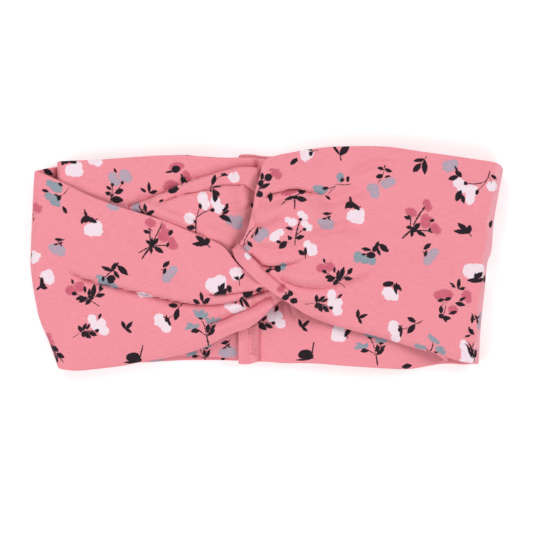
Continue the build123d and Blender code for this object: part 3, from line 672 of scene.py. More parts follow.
class Tree:
    """Adds nodes to a tree. A number fills a socket, and a socket is linked to it."""

    def __init__(self, tree):
        self.tree = tree

    def add(self, kind, *values, **settings):
        node = self.tree.nodes.new(kind)
        for key, value in settings.items():
            setattr(node, key, value)
        for i, value in enumerate(values):
            self.feed(node.inputs[i], value)
        return node

    def feed(self, socket, value):
        if isinstance(value, bpy.types.NodeSocket):
            self.tree.links.new(value, socket)
        else:
            socket.default_value = value

    def math(self, operation, *values):
        return self.add("ShaderNodeMath", *values, operation=operation).outputs[0]

    def ramp(self, value, low, high, to_low=0.0, to_high=1.0):
        ends = (low, high, to_low, to_high)
        return self.add("ShaderNodeMapRange", value, *ends, interpolation_type="SMOOTHSTEP").outputs[0]

    def mix(self, factor, first, second):
        """Two colours mixed. Each is a socket or three numbers."""
        node = self.add("ShaderNodeMix", factor, data_type="RGBA")
        ends = [s for s in node.inputs if s.type == "RGBA"]
        for socket, value in zip(ends, (first, second)):
            self.feed(socket, value if isinstance(value, bpy.types.NodeSocket) else (*value, 1))
        return [s for s in node.outputs if s.type == "RGBA"][0]

    def named(self, kind, given, **settings):
        """A node whose sockets are filled by name."""
        node = self.add(kind, **settings)
        fill(node, given, self)
        return node

    def noise(self, place, scale, detail):
        given = {"Vector": place, "Scale": scale, "Detail": detail}
        return self.named("ShaderNodeTexNoise", given, noise_dimensions="2D").outputs[0]

    def mapped(self, place, scale, location=(0, 0), turn=0.0):
        given = {"Vector": place, "Location": (*location, 0), "Rotation": (0, 0, math.radians(turn)),
                 "Scale": (*scale, 1)}
        return self.named("ShaderNodeMapping", given, vector_type="TEXTURE").outputs[0]

    def surface(self, colour, height, depth, strength, **finish):
        """Fills the tree's shader: its colour, its bump, in metres, and the rest by socket name."""
        given = {"Height": height, "Strength": strength, "Distance": depth}
        bump = self.named("ShaderNodeBump", given).outputs[0]
        names = {name.replace("_", " "): value for name, value in finish.items()}
        fill(self.tree.nodes["Principled BSDF"], {"Base Color": colour, "Normal": bump, **names}, self)


def fill(node, given, tree=None):
    """Fills a node's sockets by name. A value that is a socket is linked in the given tree."""
    for name, value in given.items():
        if tree and isinstance(value, bpy.types.NodeSocket):
            tree.feed(node.inputs[name], value)
        else:
            node.inputs[name].default_value = value


def new_material(name):
    material = bpy.data.materials.new(name)
    material.use_nodes = True
    return material, Tree(material.node_tree)


def new_group(name, inputs, outputs):
    group = bpy.data.node_groups.new(name, "ShaderNodeTree")
    for label, kind in inputs:
        group.interface.new_socket(label, in_out="INPUT", socket_type=kind)
    for label, kind in outputs:
        group.interface.new_socket(label, in_out="OUTPUT", socket_type=kind)
    return group, group.nodes.new("NodeGroupInput"), group.nodes.new("NodeGroupOutput")


def stroke_group():
    """How far a place is outside a leaf or a stalk that runs from -1 to 1."""
    inputs = [("Place", "NodeSocketVector")]
    inputs += [(label, "NodeSocketFloat") for label in ("Reach", "Half", "Taper", "Bend")]
    group, given, result = new_group("stroke", inputs, [("Distance", "NodeSocketFloat")])
    place, reach, half, taper, bend = given.outputs[:5]
    t = Tree(group)
    split = t.add("ShaderNodeSeparateXYZ", place).outputs
    squared = t.math("MULTIPLY", split[0], split[0])
    arch = t.math("SUBTRACT", 1, squared)
    aside = t.math("ABSOLUTE", t.math("SUBTRACT", split[1], t.math("MULTIPLY", bend, arch)))
    width = t.math("MULTIPLY", half, t.math("SUBTRACT", 1, t.math("MULTIPLY", taper, squared)))
    past = t.math("MULTIPLY", t.math("SUBTRACT", t.math("ABSOLUTE", split[0]), 1), reach)
    t.feed(result.inputs[0], t.math("MAXIMUM", t.math("SUBTRACT", aside, width), past))
    return group


def jersey_group():
    """Fine knit on pink: its colour, with a painted highlight along a side fold where asked, its stitches'
    height, and two kinds of unevenness for the inks.
    """
    outputs = [("Color", "NodeSocketColor")]
    outputs += [(label, "NodeSocketFloat") for label in ("Height", "Grain", "Edge")]
    group, _, result = new_group("jersey_knit", [], outputs)
    t = Tree(group)
    place = t.add("ShaderNodeUVMap", uv_map="cloth").outputs[0]
    streaks = t.noise(t.mapped(place, (4.0, 0.45)), 1.0, 3.0)
    broad = t.noise(t.mapped(place, (30, 22)), 1.0, 2.0)
    fleck = t.noise(place, 2.2, 3.0)
    split = t.add("ShaderNodeSeparateXYZ", place).outputs
    wale = t.math("PINGPONG", split[0], WALE / 2)
    slope = t.math("MULTIPLY_ADD", wale, 0.9, split[1])
    course = t.math("SINE", t.math("MULTIPLY", slope, 2 * math.pi / COURSE))
    rib = t.math("SINE", t.math("MULTIPLY", split[0], 2 * math.pi / WALE))
    knit = t.math("MULTIPLY_ADD", t.math("ADD", course, rib), 0.25, 0.5)
    tone = t.ramp(t.math("MULTIPLY_ADD", fleck, 0.35, t.math("MULTIPLY", streaks, 0.65)), 0.36, 0.64)
    colour = t.mix(tone, PINK_DARK, PINK_LIGHT)
    colour = t.mix(t.ramp(broad, 0.35, 0.65, 0.0, 0.30), colour, PINK_WORN)
    # painted highlight: pale colour mixed in along the right strip's side fold
    fold_highlight_fac = t.add("ShaderNodeAttribute", attribute_name="fold_highlight").outputs["Fac"]
    colour = t.mix(t.math("MULTIPLY", fold_highlight_fac, t.ramp(fleck, 0.3, 0.7, 0.35, 0.8)), colour, PINK_FOLD_HIGHLIGHT)
    height = t.math("MULTIPLY_ADD", fleck, 0.5, knit)
    grain = t.math("MULTIPLY_ADD", knit, 0.22, t.math("MULTIPLY", t.math("ADD", fleck, streaks), 0.39))
    for socket, value in zip(result.inputs, (colour, height, grain, t.noise(place, 0.85, 3.0))):
        t.feed(socket, value)
    return group


def jersey_material(name, marks, groups):
    """Knit with one motif of the print on it, or none."""
    material, t = new_material(name)
    cloth = t.add("ShaderNodeGroup", node_tree=groups["jersey"])
    colour, height, grain, edge = cloth.outputs[:4]
    place = t.add("ShaderNodeUVMap", uv_map="print").outputs[0]
    reach = {}
    for mark in marks:
        if mark.shape == "petal":
            spot = t.mapped(place, (mark.long, mark.wide), (mark.x, mark.y), mark.turn)
            length = t.add("ShaderNodeVectorMath", spot, operation="LENGTH").outputs["Value"]
            size = (mark.long + mark.wide) / 2
            away = t.math("MULTIPLY_ADD", length, size, -size)
        else:
            spot = t.mapped(place, (mark.long, 1), (mark.x, mark.y), mark.turn)
            taper = 1.0 if mark.shape == "leaf" else 0.35
            away = t.add("ShaderNodeGroup", node_tree=groups["stroke"])
            values = (spot, mark.long, mark.wide + INK_SPREAD, taper, mark.bend)
            for socket, value in zip(away.inputs, values):
                t.feed(socket, value)
            away = away.outputs[0]
        reach[mark.ink] = t.math("MINIMUM", reach[mark.ink], away) if mark.ink in reach else away
    for ink in (ink for ink in INKS if ink in reach):
        rough = t.math("MULTIPLY_ADD", t.math("SUBTRACT", edge, 0.5), INK_WOBBLE[ink], reach[ink])
        rough = t.math("MULTIPLY_ADD", t.math("SUBTRACT", grain, 0.5), 1.0, rough)
        mask = t.ramp(rough, INK_SOFT[ink], -INK_SOFT[ink], 0.0, INK_HOLD[ink])
        if ink == "rose":
            mask = t.math("ADD", mask, t.ramp(rough, -0.2, -2.0, 0.0, ROSE_DEPTH))
        hue = INKS[ink]
        deep = tuple(v * (0.72 if ink != "black" else 0.6) for v in hue)
        worn = tuple(h + (p - h) * (0.45 if ink != "black" else 0.06) for h, p in zip(hue, PINK_LIGHT))
        body = t.mix(t.ramp(grain, *INK_WORN.get(ink, WORN_ELSE)), hue, worn)
        if ink != "white":
            rim = t.ramp(rough, -0.2, -1.3, 0.45, 0.0)
            body = t.mix(t.math("MULTIPLY", rim, edge), body, deep)
        colour = t.mix(mask, colour, body)
    t.surface(colour, height, 0.00012, 0.35, Roughness=0.88, Specular_IOR_Level=0.2, Sheen_Weight=0.12,
              Sheen_Roughness=0.5, Sheen_Tint=(1.0, 0.82, 0.85, 1))
    return material


def jersey_materials():
    groups = {"stroke": stroke_group(), "jersey": jersey_group()}
    made = {name: jersey_material("print_" + name, marks, groups) for name, marks in MOTIFS.items()}
    made[""] = jersey_material("jersey_pink", [], groups)
    return made


def motif_reach(name):
    """How far a motif's marks go from its own middle."""
    sizes = [m.long if m.shape != "petal" else max(m.long, m.wide) for m in MOTIFS[name]]
    return max(math.hypot(m.x, m.y) + size for m, size in zip(MOTIFS[name], sizes))


def nearest_spot(places, spots):
    """The number of the motif that covers each place, or -1 where none does."""
    middles = np.array([(spot.x, spot.y) for spot in spots], float)
    sizes = np.array([motif_reach(spot.name) * spot.size for spot in spots])
    away = np.linalg.norm(places[:, None] - middles[None], axis=2) / sizes
    best = away.argmin(axis=1)
    best[away[np.arange(len(best)), best] > 1.15] = -1  # a little past its marks, for the ink's edge
    return best


def paint(obj, fabric, lists, materials):
    """Gives a cloth mesh its two maps and each face's material, from each corner's place in the cloth."""
    mesh = obj.data
    slots = {"": 0}
    mesh.materials.append(materials[""])
    index = np.zeros(len(mesh.polygons), int)
    local = fabric.copy()
    middle = fabric.mean(axis=1)
    for chosen, spots in lists:
        at = np.flatnonzero(chosen)
        best = nearest_spot(middle[at], spots)
        for i, (name, x, y, turn, size) in enumerate(spots):
            faces = at[best == i]
            if not len(faces):
                continue
            if name not in slots:
                slots[name] = len(slots)
                mesh.materials.append(materials[name])
            index[faces] = slots[name]
            cosine, sine = math.cos(math.radians(turn)), math.sin(math.radians(turn))
            turned = np.array([[cosine, -sine], [sine, cosine]])
            local[faces] = (fabric[faces] - (x, y)) @ turned / size
    mesh.polygons.foreach_set("material_index", index.astype(np.int32))
    for name, values in (("cloth", fabric), ("print", local)):
        layer = mesh.uv_layers.new(name=name)
        layer.data.foreach_set("uv", values.astype(np.float32).ravel())
    mesh.update()


# ---------------------------------------------------------------- the left strip's front
LEFT_FOLD = [
    (-118.4, 45), (-119.4, 28), (-120.4, 3), (-120.2, -7), (-118.4, -19), (-115.8, -31), (-111.2, -42),
    (-106.1, -56.4),
]
LEFT_FOLD_INSIDE = [(-106.8, 49.7), (-106.9, 38), (-108, 20), (-109, 0), (-106, -25), (-101, -53.5)]


def left_outer_leg():
    upper = [
        (-118.4, 45), (-106.6, 40), (-92.3, 32.9), (-80.6, 28.3), (-69.9, 24.7), (-58.7, 21.4),
        (-50.5, 18.6), (-38.3, 13.5), (-26, 8.4), (-20.9, 4.6), (-17.4, 0), (-12.8, -4.8), (-6, -7),
        (2, -6),
    ]
    lower = [
        (-106.1, -56.4), (-98, -57.3), (-89.3, -56.7), (-74.5, -55), (-64.3, -52.9), (-50.5, -50.7),
        (-38.3, -47.7), (-30.1, -44.6), (-17.9, -38.5), (-10.2, -36), (-5.1, -32.6), (-1, -28.8),
        (3.1, -24.7), (8.5, -20.5), (15, -17),
    ]
    plan = plan_grid(upper, lower, LEFT_FOLD, columns=215, rows=120)
    top = OUTER_TOP
    z = drape([
        (-115, 20, top), (-112, -35, top), (-85, -50, top - 1), (-60, -48, top - 1.5),
        (-90, 0, top + 0.3), (-60, 0, top + 0.6), (-30, -8, top + 1), (-75, 24, top), (-40, 12, top),
        (-22, 4, top - 1), (-30, -40, top - 1.6), (-6, -32, top - 2.2), (6, -21, top - 2.5),
        (-12, -14, top + 0.5), (2, -12, top - 1),
    ])(plan)
    z += ripple(plan, 38, 0.7, 1) + ripple(plan, 17, 0.22, 11)
    for points, *shape in (
        ([(-89.3, -56.9), (-74.5, -55.2), (-64.3, -53.1), (-50.5, -50.9), (-38.3, -47.9), (-30.1, -44.8),
          (-17.9, -38.7)], -1.3, 2, (0.1, 0.15)),
        ([(-40, -36), (-24.5, -32.2), (-17.4, -28.7), (-10.4, -26), (-3.3, -22.5),
          (4, -18.6)], -3.2, 1.7, (0.45, 0.05)),
        ([(-14, -20.5), (-6, -18.5), (2, -15.5), (6, -14)], -3.8, 1.1, (0.3, 0.05)),
        ([(-44, -40), (-22, -34.5), (-8, -30), (4, -23)], 1.6, 3, (0.4, 0.05)),
        ([(-66, -25), (-40, -27.5), (-22, -26.5), (-6, -21)], 1.5, 3.4, (0.4, 0.05)),
        ([(-100, -3), (-78, -8), (-55, -13), (-35, -16)], 1.2, 6),
        ([(-44, 2), (-30, -3), (-16, -8)], -0.9, 4),
    ):
        swell(plan, z, points, *shape)
    pleat(plan, z, [(-34, -17.5), (-27.5, -17.6), (-17.9, -16.6), (-8, -15), (-1, -13)], 1.4, 3.2, 4,
          fade=(0.25, 0.02), tuck=1.4, hang=1.0)
    pleat(plan, z, [(-108, -3.2), (-90.8, -9.6), (-78, -13), (-66.3, -15.9), (-54.6, -18.8), (-38.3, -21.9),
                    (-26, -22.2), (-13.8, -19.9), (-1, -14)], 1.5, 3.4, 6,
          fade=(0.16, 0.02), tuck=3.5, hang=1.3)
    return finish_run(plan, z, RIM_OUTER - LAP)


def left_inner_leg():
    upper = [
        (-106.8, 49.7), (-83.6, 50.7), (-59.7, 52.4), (-48.5, 52.8), (-40.3, 52.9), (-34.7, 52.3),
        (-22.4, 51.6), (-15.8, 51.6), (-1.5, 51), (6, 48),
    ]
    lower = [(-101, -53.5), (-72, -38), (-48, -12), (-34, 0), (-24, 1.5), (-17, 1), (-8, 6), (4, 16)]
    plan = plan_grid(upper, lower, LEFT_FOLD_INSIDE, columns=180, rows=120)
    low = INNER_TOP
    z = drape([
        (-105, 42, low), (-105, 0, low - 1), (-80, 43, low), (-60, 48, low), (-88, 28, low - 2.2),
        (-62, 20, low - 2.2), (-44, 47, low + 0.2), (-22, 49, low), (-3, 50, low - 2.0),
        (-44, 14, low - 1.5), (-42, 28, low + 1.4), (-28, 30, low + 3), (-28, 16, low + 1.4),
        (-20, 32, low + 3), (-19, 20, low + 2), (-14, 29, low + 0.8), (-9, 28, low - 2),
        (-8, 20, low - 3), (-12, 11, low - 3.4), (-17, 3, low - 5), (0, 38, low - 3),
        (-100, -45, low - 2), (-60, -25, low - 2), (4, 30, low - 4),
    ])(plan)
    z += ripple(plan, 34, 0.3, 2) + ripple(plan, 16, 0.16, 13)
    for points, *shape in (
        ([(-4.6, 56), (-4.8, 50), (-5.5, 43)], -2.6, 2.2, (0.02, 0.2)),
        ([(-12, 36), (-11.5, 31), (-10, 26)], 1.2, 2.2),
        ([(-66, 27.7), (-60, 25.2), (-51, 22.1), (-42, 18.5), (-34, 14.7)], 3.5, 2.9, (0.12, 0.2)),
        ([(-30, 24), (-22, 19), (-14, 16), (-9, 15)], -1.1, 2.8),
        ([(-34, 12), (-24, 9), (-16, 8)], 1.2, 3),
    ):
        swell(plan, z, points, *shape)
    pleat(plan, z, [(-11.2, 38.2), (-14, 36.2), (-22.4, 36), (-30.1, 33.9), (-36.2, 32.4), (-43.9, 31.2),
                    (-52, 27.8), (-59.7, 26.3)], 0.8, 2.2, 2.2, fade=(0.05, 0.2), tuck=2.4, hang=0.7)
    pleat(plan, z, [(-11.6, 38.4), (-9.2, 37), (-6.1, 34.6), (-3, 30)], 1, 2, 2.5,
          fade=(0.1, 0.05), hang=0.6)
    pleat(plan, z, [(-3.6, 44.8), (-12.8, 45.1), (-20.7, 43.6), (-30.6, 40.5), (-37.7, 38.5), (-43.9, 36.2),
                    (-52, 32.4), (-59.7, 29.1), (-71.7, 24.9)], 2.6, 3.8, 4.4,
          fade=(0.02, 0.03), tuck=2.4, hang=1.8)
    return finish_run(plan, z, RIM_INNER - LAP)


# ---------------------------------------------------------------- the right strip's front
RIGHT_FOLD = [
    (120.4, 46.5), (117.8, 32.9), (115.3, 18.1), (114.2, 4.3), (112, -2.3), (111.2, -12), (109.7, -25.2),
    (108.6, -36.5), (107.6, -54.3),
]
RIGHT_FOLD_INSIDE = [
    (113, 44), (112.4, 20), (111.6, 2), (110.4, -6), (107.5, -22), (103, -36), (91.8, -52.5),
]
ROLL = [  # the gathered edge that crosses the left strip
    (19.4, -21.6), (13.2, -18.2), (7, -14.6), (2, -10.5), (-2.1, -7), (-6.3, -2.2), (-10.5, 1.9),
    (-14.8, 7.2),
]


def right_outer_leg():
    upper = [
        (120.4, 46.5), (116.3, 49), (100.5, 51.5), (79, 54.6), (63.2, 56.9), (49.5, 57.4), (31.1, 56.9),
        (15.8, 54.8), (1.5, 51.6), (-2.2, 48), (-3.4, 43), (-5.9, 34.4), (-7.1, 25.8), (-9.7, 15.6),
        (-12.6, 9), (-15.5, 5.5),
    ]
    lower = [
        (107.6, -54.3), (95.9, -51.8), (87.2, -48.7), (78.5, -46.7), (69.9, -44.1), (56.6, -40),
        (42.3, -36.5), (30.1, -32.9), (19.4, -28.3), (9.2, -21.6), (3.5, -18.2), (-3.6, -13),
        (-10.2, -6.9), (-15.8, -0.8), (-17.6, 3.2),
    ]
    plan = plan_grid(upper, lower, RIGHT_FOLD, columns=235, rows=142)
    top, low = KNOT_TOP, OUTER_TOP
    z = drape([
        (116, 35, low), (112, 0, low), (108, -45, low - 0.5), (90, 40, low + 0.4), (90, -40, low),
        (80, 0, low + 0.8), (50, 50, low - 0.6), (60, -36, low - 0.4), (50, 20, low + 1.8),
        (40, -20, low + 1.6), (20, 50, low), (20, 25, top - 0.6), (20, -8, top - 1), (2, 30, top - 0.4),
        (0, 10, top - 1.2), (-2, 46, low + 0.4), (-6, 25, top - 2.4), (-11, 12, top - 3.4),
        (12, -22, low + 0.6), (30, -31, low - 0.4), (-3, -10, top - 2.6), (-12, -2, top - 3.2),
        (-16.5, 4, top - 6.5),
    ])(plan)
    z += ripple(plan, 42, 0.8, 3) + ripple(plan, 18, 0.22, 12)
    for points, *shape in (
        ([(100, -53), (87.2, -48.9), (78.5, -46.9), (69.9, -44.3), (56.6, -40.2), (42.3, -36.7),
          (30.1, -33.1), (19.4, -28.5)], -1.8, 2.1, (0.1, 0.1)),
        ([(-9.5, 3), (-6, 0), (-3, -2.5), (2, -4.2), (9, -2.2)], -2.4, 1.3, (0.1, 0.4)),
        ([(-7, 17), (-2, 16.6), (2, 18), (6, 20), (16, 22)], -1.6, 1.3, (0.05, 0.5)),
        ([(-7, 21), (2, 23), (12, 27), (24, 28)], 1.2, 2.6, (0.05, 0.5)),
        ([(-5, 27), (4, 28.5), (12, 31), (20, 31)], -1.2, 1.6, (0.05, 0.5)),
        ([(5, -8.5), (7.5, -10.3), (16, -13.9), (26.7, -15), (35.6, -13.7), (46, -10.3), (56, -6.4),
          (66, -2.4)], -2.2, 1.5, (0.06, 0.35)),
        ([(8, -6), (16, -9), (26, -9.4), (36, -6)], 1.4, 3.4, (0.2, 0.5)),
        ([(12, -17), (22, -20.5), (34, -20)], 1, 3, (0.2, 0.5)),
        ([(24, 30), (34, 29), (44, 33), (58, 40)], -2.6, 3.5, (0.2, 0.4)),
        ([(20, 10), (26, 13), (34, 15.4), (44, 16), (56, 12)], -2.6, 2.8, (0.3, 0.5)),
        ([(-8, 11), (4, 10), (16, 13), (28, 14)], 1.4, 3.6, (0.1, 0.5)),
        ([(-6, 6.5), (2, 4.4), (12, 5), (22, 8)], -1.2, 1.8, (0.1, 0.5)),
        ([(10, 44), (28, 45), (50, 48)], 1.2, 5, (0.2, 0.5)),
        ([(40, 40), (50, 46.4), (60, 48.8), (74, 45)], -2, 2.4, (0.3, 0.5)),
        ([(66, -2.6), (80, -1.6), (92, -0.6), (106, 1)], -0.5, 1.4, (0.3, 0.3)),
    ):
        swell(plan, z, points, *shape)
    pleat(plan, z, [(-2, 30.6), (0, 33.2), (5, 34.6), (13.8, 36.4), (22.4, 34.9), (30, 33.6), (40, 31)],
          1.4, 2.6, 5, fade=(0.05, 0.5), tuck=3, hang=0.7)
    pleat(plan, z, [(-3.6, -2.3), (3.6, -2.8), (10.7, -1.8), (15.3, -0.8), (24, 2)], 1.2, 2.2, 3.4,
          fade=(0.05, 0.5), tuck=2.4, hang=0.5)
    pleat(plan, z, ROLL[::-1], 0.6, 0.1, 3, fade=(0.02, 0.3), tuck=2, hang=0.2)
    pleat(plan, z, ROLL, 2.0, 2.6, 4, fade=(0.35, 0.05), tuck=1.5, hang=0.7)
    return finish_run(plan, z, RIM_OUTER - LAP)


def right_inner_leg():
    upper = [(113, 44), (80, 47), (40, 43), (10, 25), (-10, 12)]
    lower = [
        (91.8, -52.5), (80, -45), (60, -37.5), (40, -33), (28, -29.6), (19, -27), (12, -23.4), (6, -20.4),
        (0, -16), (-5, -10), (-12, -4),
    ]
    plan = plan_grid(upper, lower, RIGHT_FOLD_INSIDE, columns=86, rows=142)
    low = INNER_TOP
    z = drape([
        (105, 20, low), (95, -40, low - 1), (60, 0, low), (30, 20, low), (10, 0, low - 1),
        (-8, 4, low - 1.5), (12, -24, low - 3), (40, -32, low - 0.6),
    ])(plan)
    z += ripple(plan, 30, 0.2, 4)
    for x, deep in ((5, 0.8), (9.5, 0.6), (14.5, 0.8)):
        swell(plan, z, [(x * 0.5 + 1, -14), (x, -26), (x * 1.2, -34)], -deep, 1.8, fade=(0.2, 0.05))
    return finish_run(plan, z, RIM_INNER - LAP)


def front_cloth(name, outer, inner, prints, materials, columns, pull, rolled):
    """A strip's front, with prints for the outer and the inner leg's two plies. See joined for its turn."""
    run = joined(outer, inner, columns, pull, rolled)
    first = len(outer.middle)
    turned = first + columns
    panels = [(0, first, *prints[0]), (first, turned, YARD, YARD), (turned, len(run.middle), *prints[1])]
    # the right strip, which is not rolled, gets a painted highlight along its side fold
    return cloth_object(name, run, panels, materials, painted_fold_highlight=not rolled)


# ---------------------------------------------------------------- the backs
SEAM_X = -5.0
RIDGE_X = SEAM_X - 9.5  # the free edge of the seam allowance, turned to the left
NEEDLE_X = SEAM_X - 4.2  # its stitches
LOOPS_X = SEAM_X - 1.8  # its overlocking
STITCH_PITCH = 2.6
STITCH_COUNT = 38
LOOP_COUNT = 50
LOOP_STEPS = 16  # points of thread in a loop
LOOP_WIDTH = 1.45
SEAM_REACH = 50  # of the overlocking, each way from the middle


def back_run(upper, lower, start, height, level, columns=110, rows=90):
    plan = plan_grid(upper, lower, start, columns, rows)
    return finish_run(plan, height(plan), level + LAP)


def outer_back_height(plan):
    """Flat on the table, but lifted by the side fold where its upper corner shows past the inner run."""
    x, y = plan[..., 0], plan[..., 1]
    corner = 7.5 * ease(y, 34, 44) * ease(-x, 104, 112)
    return TUBE + GAP + ripple(plan, 40, 0.1, 5) + corner


def inner_back_height(plan):
    """Soft waves, the welt of the tube's own seam, and a lower edge that stands off the table."""
    x, y = plan[..., 0], plan[..., 1]
    lift = ease(-y, 16, 42) * ease(-x, -94, -58) * (3.0 * ease(x, -52, -24) + 2.4 * ease(x, 14, 34))
    z = BACK_TOP + ripple(plan, 45, 0.2, 7) + lift
    return z + 0.35 * np.exp(-((y / 2.6) ** 2)) - 0.3 * np.exp(-((y / 0.7) ** 2))


def seamed_back_height(plan):
    """The right inner run, with the seam allowance that turns back over the left strip's end."""
    x = plan[..., 0]
    z = inner_back_height(plan) + 1.95 * ease(-x, 3.2, 6.5)
    # the seam sinks, and the allowance's free edge stands up
    z -= 1.2 * np.exp(-(((x - SEAM_X - 0.8) / 1.1) ** 2))
    z += 0.5 * np.exp(-(((x - RIDGE_X - 1.5) / 1.8) ** 2))
    for x_end, y_end in ((3, -29), (9, -31), (14.5, -32), (20.5, -32)):
        groove = [(4.2 + 0.35 * x_end, -20), (2.1 + 0.68 * x_end, -25), (x_end, y_end)]
        swell(plan, z, groove, -0.9, 0.9, (0.02, 0.5))
    pucker = 0.6 + 0.4 * np.sin(plan[..., 1] * 2 * math.pi / STITCH_PITCH)
    return z - 0.8 * pucker * np.exp(-(((x - NEEDLE_X) / 0.7) ** 2))


def backs(materials):
    left_outer = back_run(
        [(-118.4, 45), (-100, 48.5), (-83.6, 49.6), (-40, 51), (SEAM_X, 52)],
        [(-106.1, -56.4), (-98, -57.2), (-89.3, -56.7), (-74.5, -55), (-66.3, -53.6), (-59.7, -53.3),
         (-42.3, -52.3), (-26, -52.3), (-15.3, -52.6), (SEAM_X, -53)],
        LEFT_FOLD, outer_back_height, RIM_OUTER)
    left_inner = back_run(
        [(-106.8, 49.7), (-60, 50), (-14, 50.6), (SEAM_X - 1, 50.8)],
        [(-101, -53.5), (-80, -51.6), (-60, -50.3), (-42, -50), (-26, -50.6), (-12, -51.6),
         (SEAM_X - 1, -52)],
        LEFT_FOLD_INSIDE, inner_back_height, RIM_INNER)
    right_outer = back_run(
        [(120.4, 46.5), (100, 50), (60, 53), (20, 52.4), (SEAM_X, 52)],
        [(107.6, -54.3), (100, -54.5), (91.8, -54.1), (74, -55.4), (42.3, -54), (9.7, -53), (SEAM_X, -53)],
        RIGHT_FOLD, outer_back_height, RIM_OUTER)
    right_inner = back_run(
        [(113, 44), (70, 51.5), (20, 52.3), (0, 52.6), (-7, 53.4), (-12.6, 53.5), (RIDGE_X, 52.8)],
        [(91.8, -52.5), (87, -54.4), (82.6, -55.2), (74, -56.6), (65.3, -56.6), (42.3, -55.2), (24, -53.8),
         (9.7, -53.7), (-3, -52.9), (-10, -54.2), (RIDGE_X, -54)],
        RIGHT_FOLD_INSIDE, seamed_back_height, RIM_INNER, columns=260, rows=120)
    runs = {
        "left_outer_back": left_outer, "left_inner_back": left_inner, "right_outer_back": right_outer,
        "right_inner_back": right_inner,
    }
    cloths = {}
    for name, run in runs.items():
        cloths[name] = cloth_object(name, run, [(0, len(run.middle), BACK_YARD, YARD)], materials)
    return cloths, runs


# ---------------------------------------------------------------- sewing thread
THREAD_SIDES = 7
THREAD_END = 0.35  # how thin a thread is where it goes into the cloth
NEEDLE_RADIUS, LOOPER_RADIUS = 0.16, 0.14


def face_height(run, side, places):
    """The height of a run's upper or lower face at each place."""
    flat = run.middle[..., :2].reshape(-1, 2)
    high = run.middle[..., 2].ravel()
    near = [np.argmin(((flat - p) ** 2).sum(1)) for p in places]
    return high[near] + side * TUBE / 2


def threads(name, paths, radius):
    """Round threads along the given paths, in one mesh."""
    points, faces, start = [], [], 0
    for path in paths:
        path = np.asarray(path, float)
        way = np.gradient(path, axis=0)
        way /= np.linalg.norm(way, axis=1, keepdims=True)
        aside = np.cross(way, (0, 0, 1.0))
        aside /= np.maximum(np.linalg.norm(aside, axis=1, keepdims=True), 1e-6)
        above = np.cross(aside, way)
        size = radius * np.r_[THREAD_END, np.ones(len(path) - 2), THREAD_END]
        for k in range(THREAD_SIDES):
            a = 2 * math.pi * k / THREAD_SIDES
            points.append(path + (aside * math.cos(a) + above * math.sin(a)) * size[:, None])
        count = len(path)
        for k in range(THREAD_SIDES):
            this, other = start + k * count, start + (k + 1) % THREAD_SIDES * count
            for i in range(count - 1):
                faces.append([this + i, this + i + 1, other + i + 1, other + i])
        for end in (0, count - 1):
            faces.append([start + k * count + end for k in range(THREAD_SIDES)][:: 1 if end else -1])
        start += THREAD_SIDES * count
    return mesh_object(name, np.concatenate(points), faces)


def stitch_row(places, way, run, side, long):
    """Small arched stitches centred on the given places, lying along way on one face of a run."""
    high = face_height(run, side, places)
    t = np.linspace(-1, 1, 9)
    paths = []
    for (x, y), z in zip(places, high):
        arch = side * (0.32 * (1 - t**2) - 0.12)
        paths.append(np.stack([x + way[0] * t * long / 2, y + way[1] * t * long / 2, z + arch], axis=1))
    return paths


def back_seam(run):
    """The needle line and the overlocked edge of the back seam."""
    y = (np.arange(STITCH_COUNT) - (STITCH_COUNT - 1) / 2) * STITCH_PITCH
    stitches = stitch_row([(NEEDLE_X, v) for v in y], (0, 1), run, 1, 2.1)
    t = np.linspace(0, 1, LOOP_COUNT * LOOP_STEPS + 1)
    y = SEAM_REACH * (2 * t - 1)
    x = LOOPS_X + LOOP_WIDTH * np.sin(t * LOOP_COUNT * 2 * math.pi)
    z = face_height(run, 1, np.stack([x, y], axis=1)) + 0.12 + 0.08 * np.cos(t * LOOP_COUNT * 4 * math.pi)
    loops = np.stack([x, y, z], axis=1)
    y = np.linspace(-SEAM_REACH, SEAM_REACH, 6 * LOOP_COUNT)
    edge = np.stack([np.full_like(y, LOOPS_X + LOOP_WIDTH + 0.05), y], axis=1)
    chain = np.column_stack([edge, face_height(run, 1, edge) + 0.22])
    chain[:, 0] += 0.18 * np.sin(np.arange(len(y)) * 0.9)
    tail = smooth([(NEEDLE_X, -48.5, 5.6), (NEEDLE_X + 1.6, -50.2, 6.4), (NEEDLE_X + 0.4, -52.0, 6.2),
                   (NEEDLE_X + 1.2, -53.6, 5.8)], 30)
    needle = threads("seam_stitches", stitches + [tail], NEEDLE_RADIUS)
    return needle, threads("seam_overlock", [loops, chain], LOOPER_RADIUS)


def tube_seam(name, run, side, middle, turn, long):
    """The row of stitches along a tube's own seam, on the face towards the head."""
    way = (math.cos(math.radians(turn)), math.sin(math.radians(turn)))
    count = int(long / STITCH_PITCH)
    at = (np.arange(count) - (count - 1) / 2) * STITCH_PITCH
    places = [(middle[0] + way[0] * a, middle[1] + way[1] * a) for a in at]
    return threads(name, stitch_row(places, way, run, side, 2.2), NEEDLE_RADIUS)


def thread_material():
    """Spun polyester, twisted, a shade deeper than the cloth."""
    material, t = new_material("thread_pink")
    given = {"Vector": t.add("ShaderNodeTexCoord").outputs["Object"], "Scale": 900, "Distortion": 2}
    twist = t.named("ShaderNodeTexWave", given, bands_direction="DIAGONAL").outputs[1]
    t.surface(t.mix(twist, THREAD_DARK, THREAD_LIGHT), twist, 0.00005, 0.5, Roughness=0.6, Sheen_Weight=0.3)
    return material


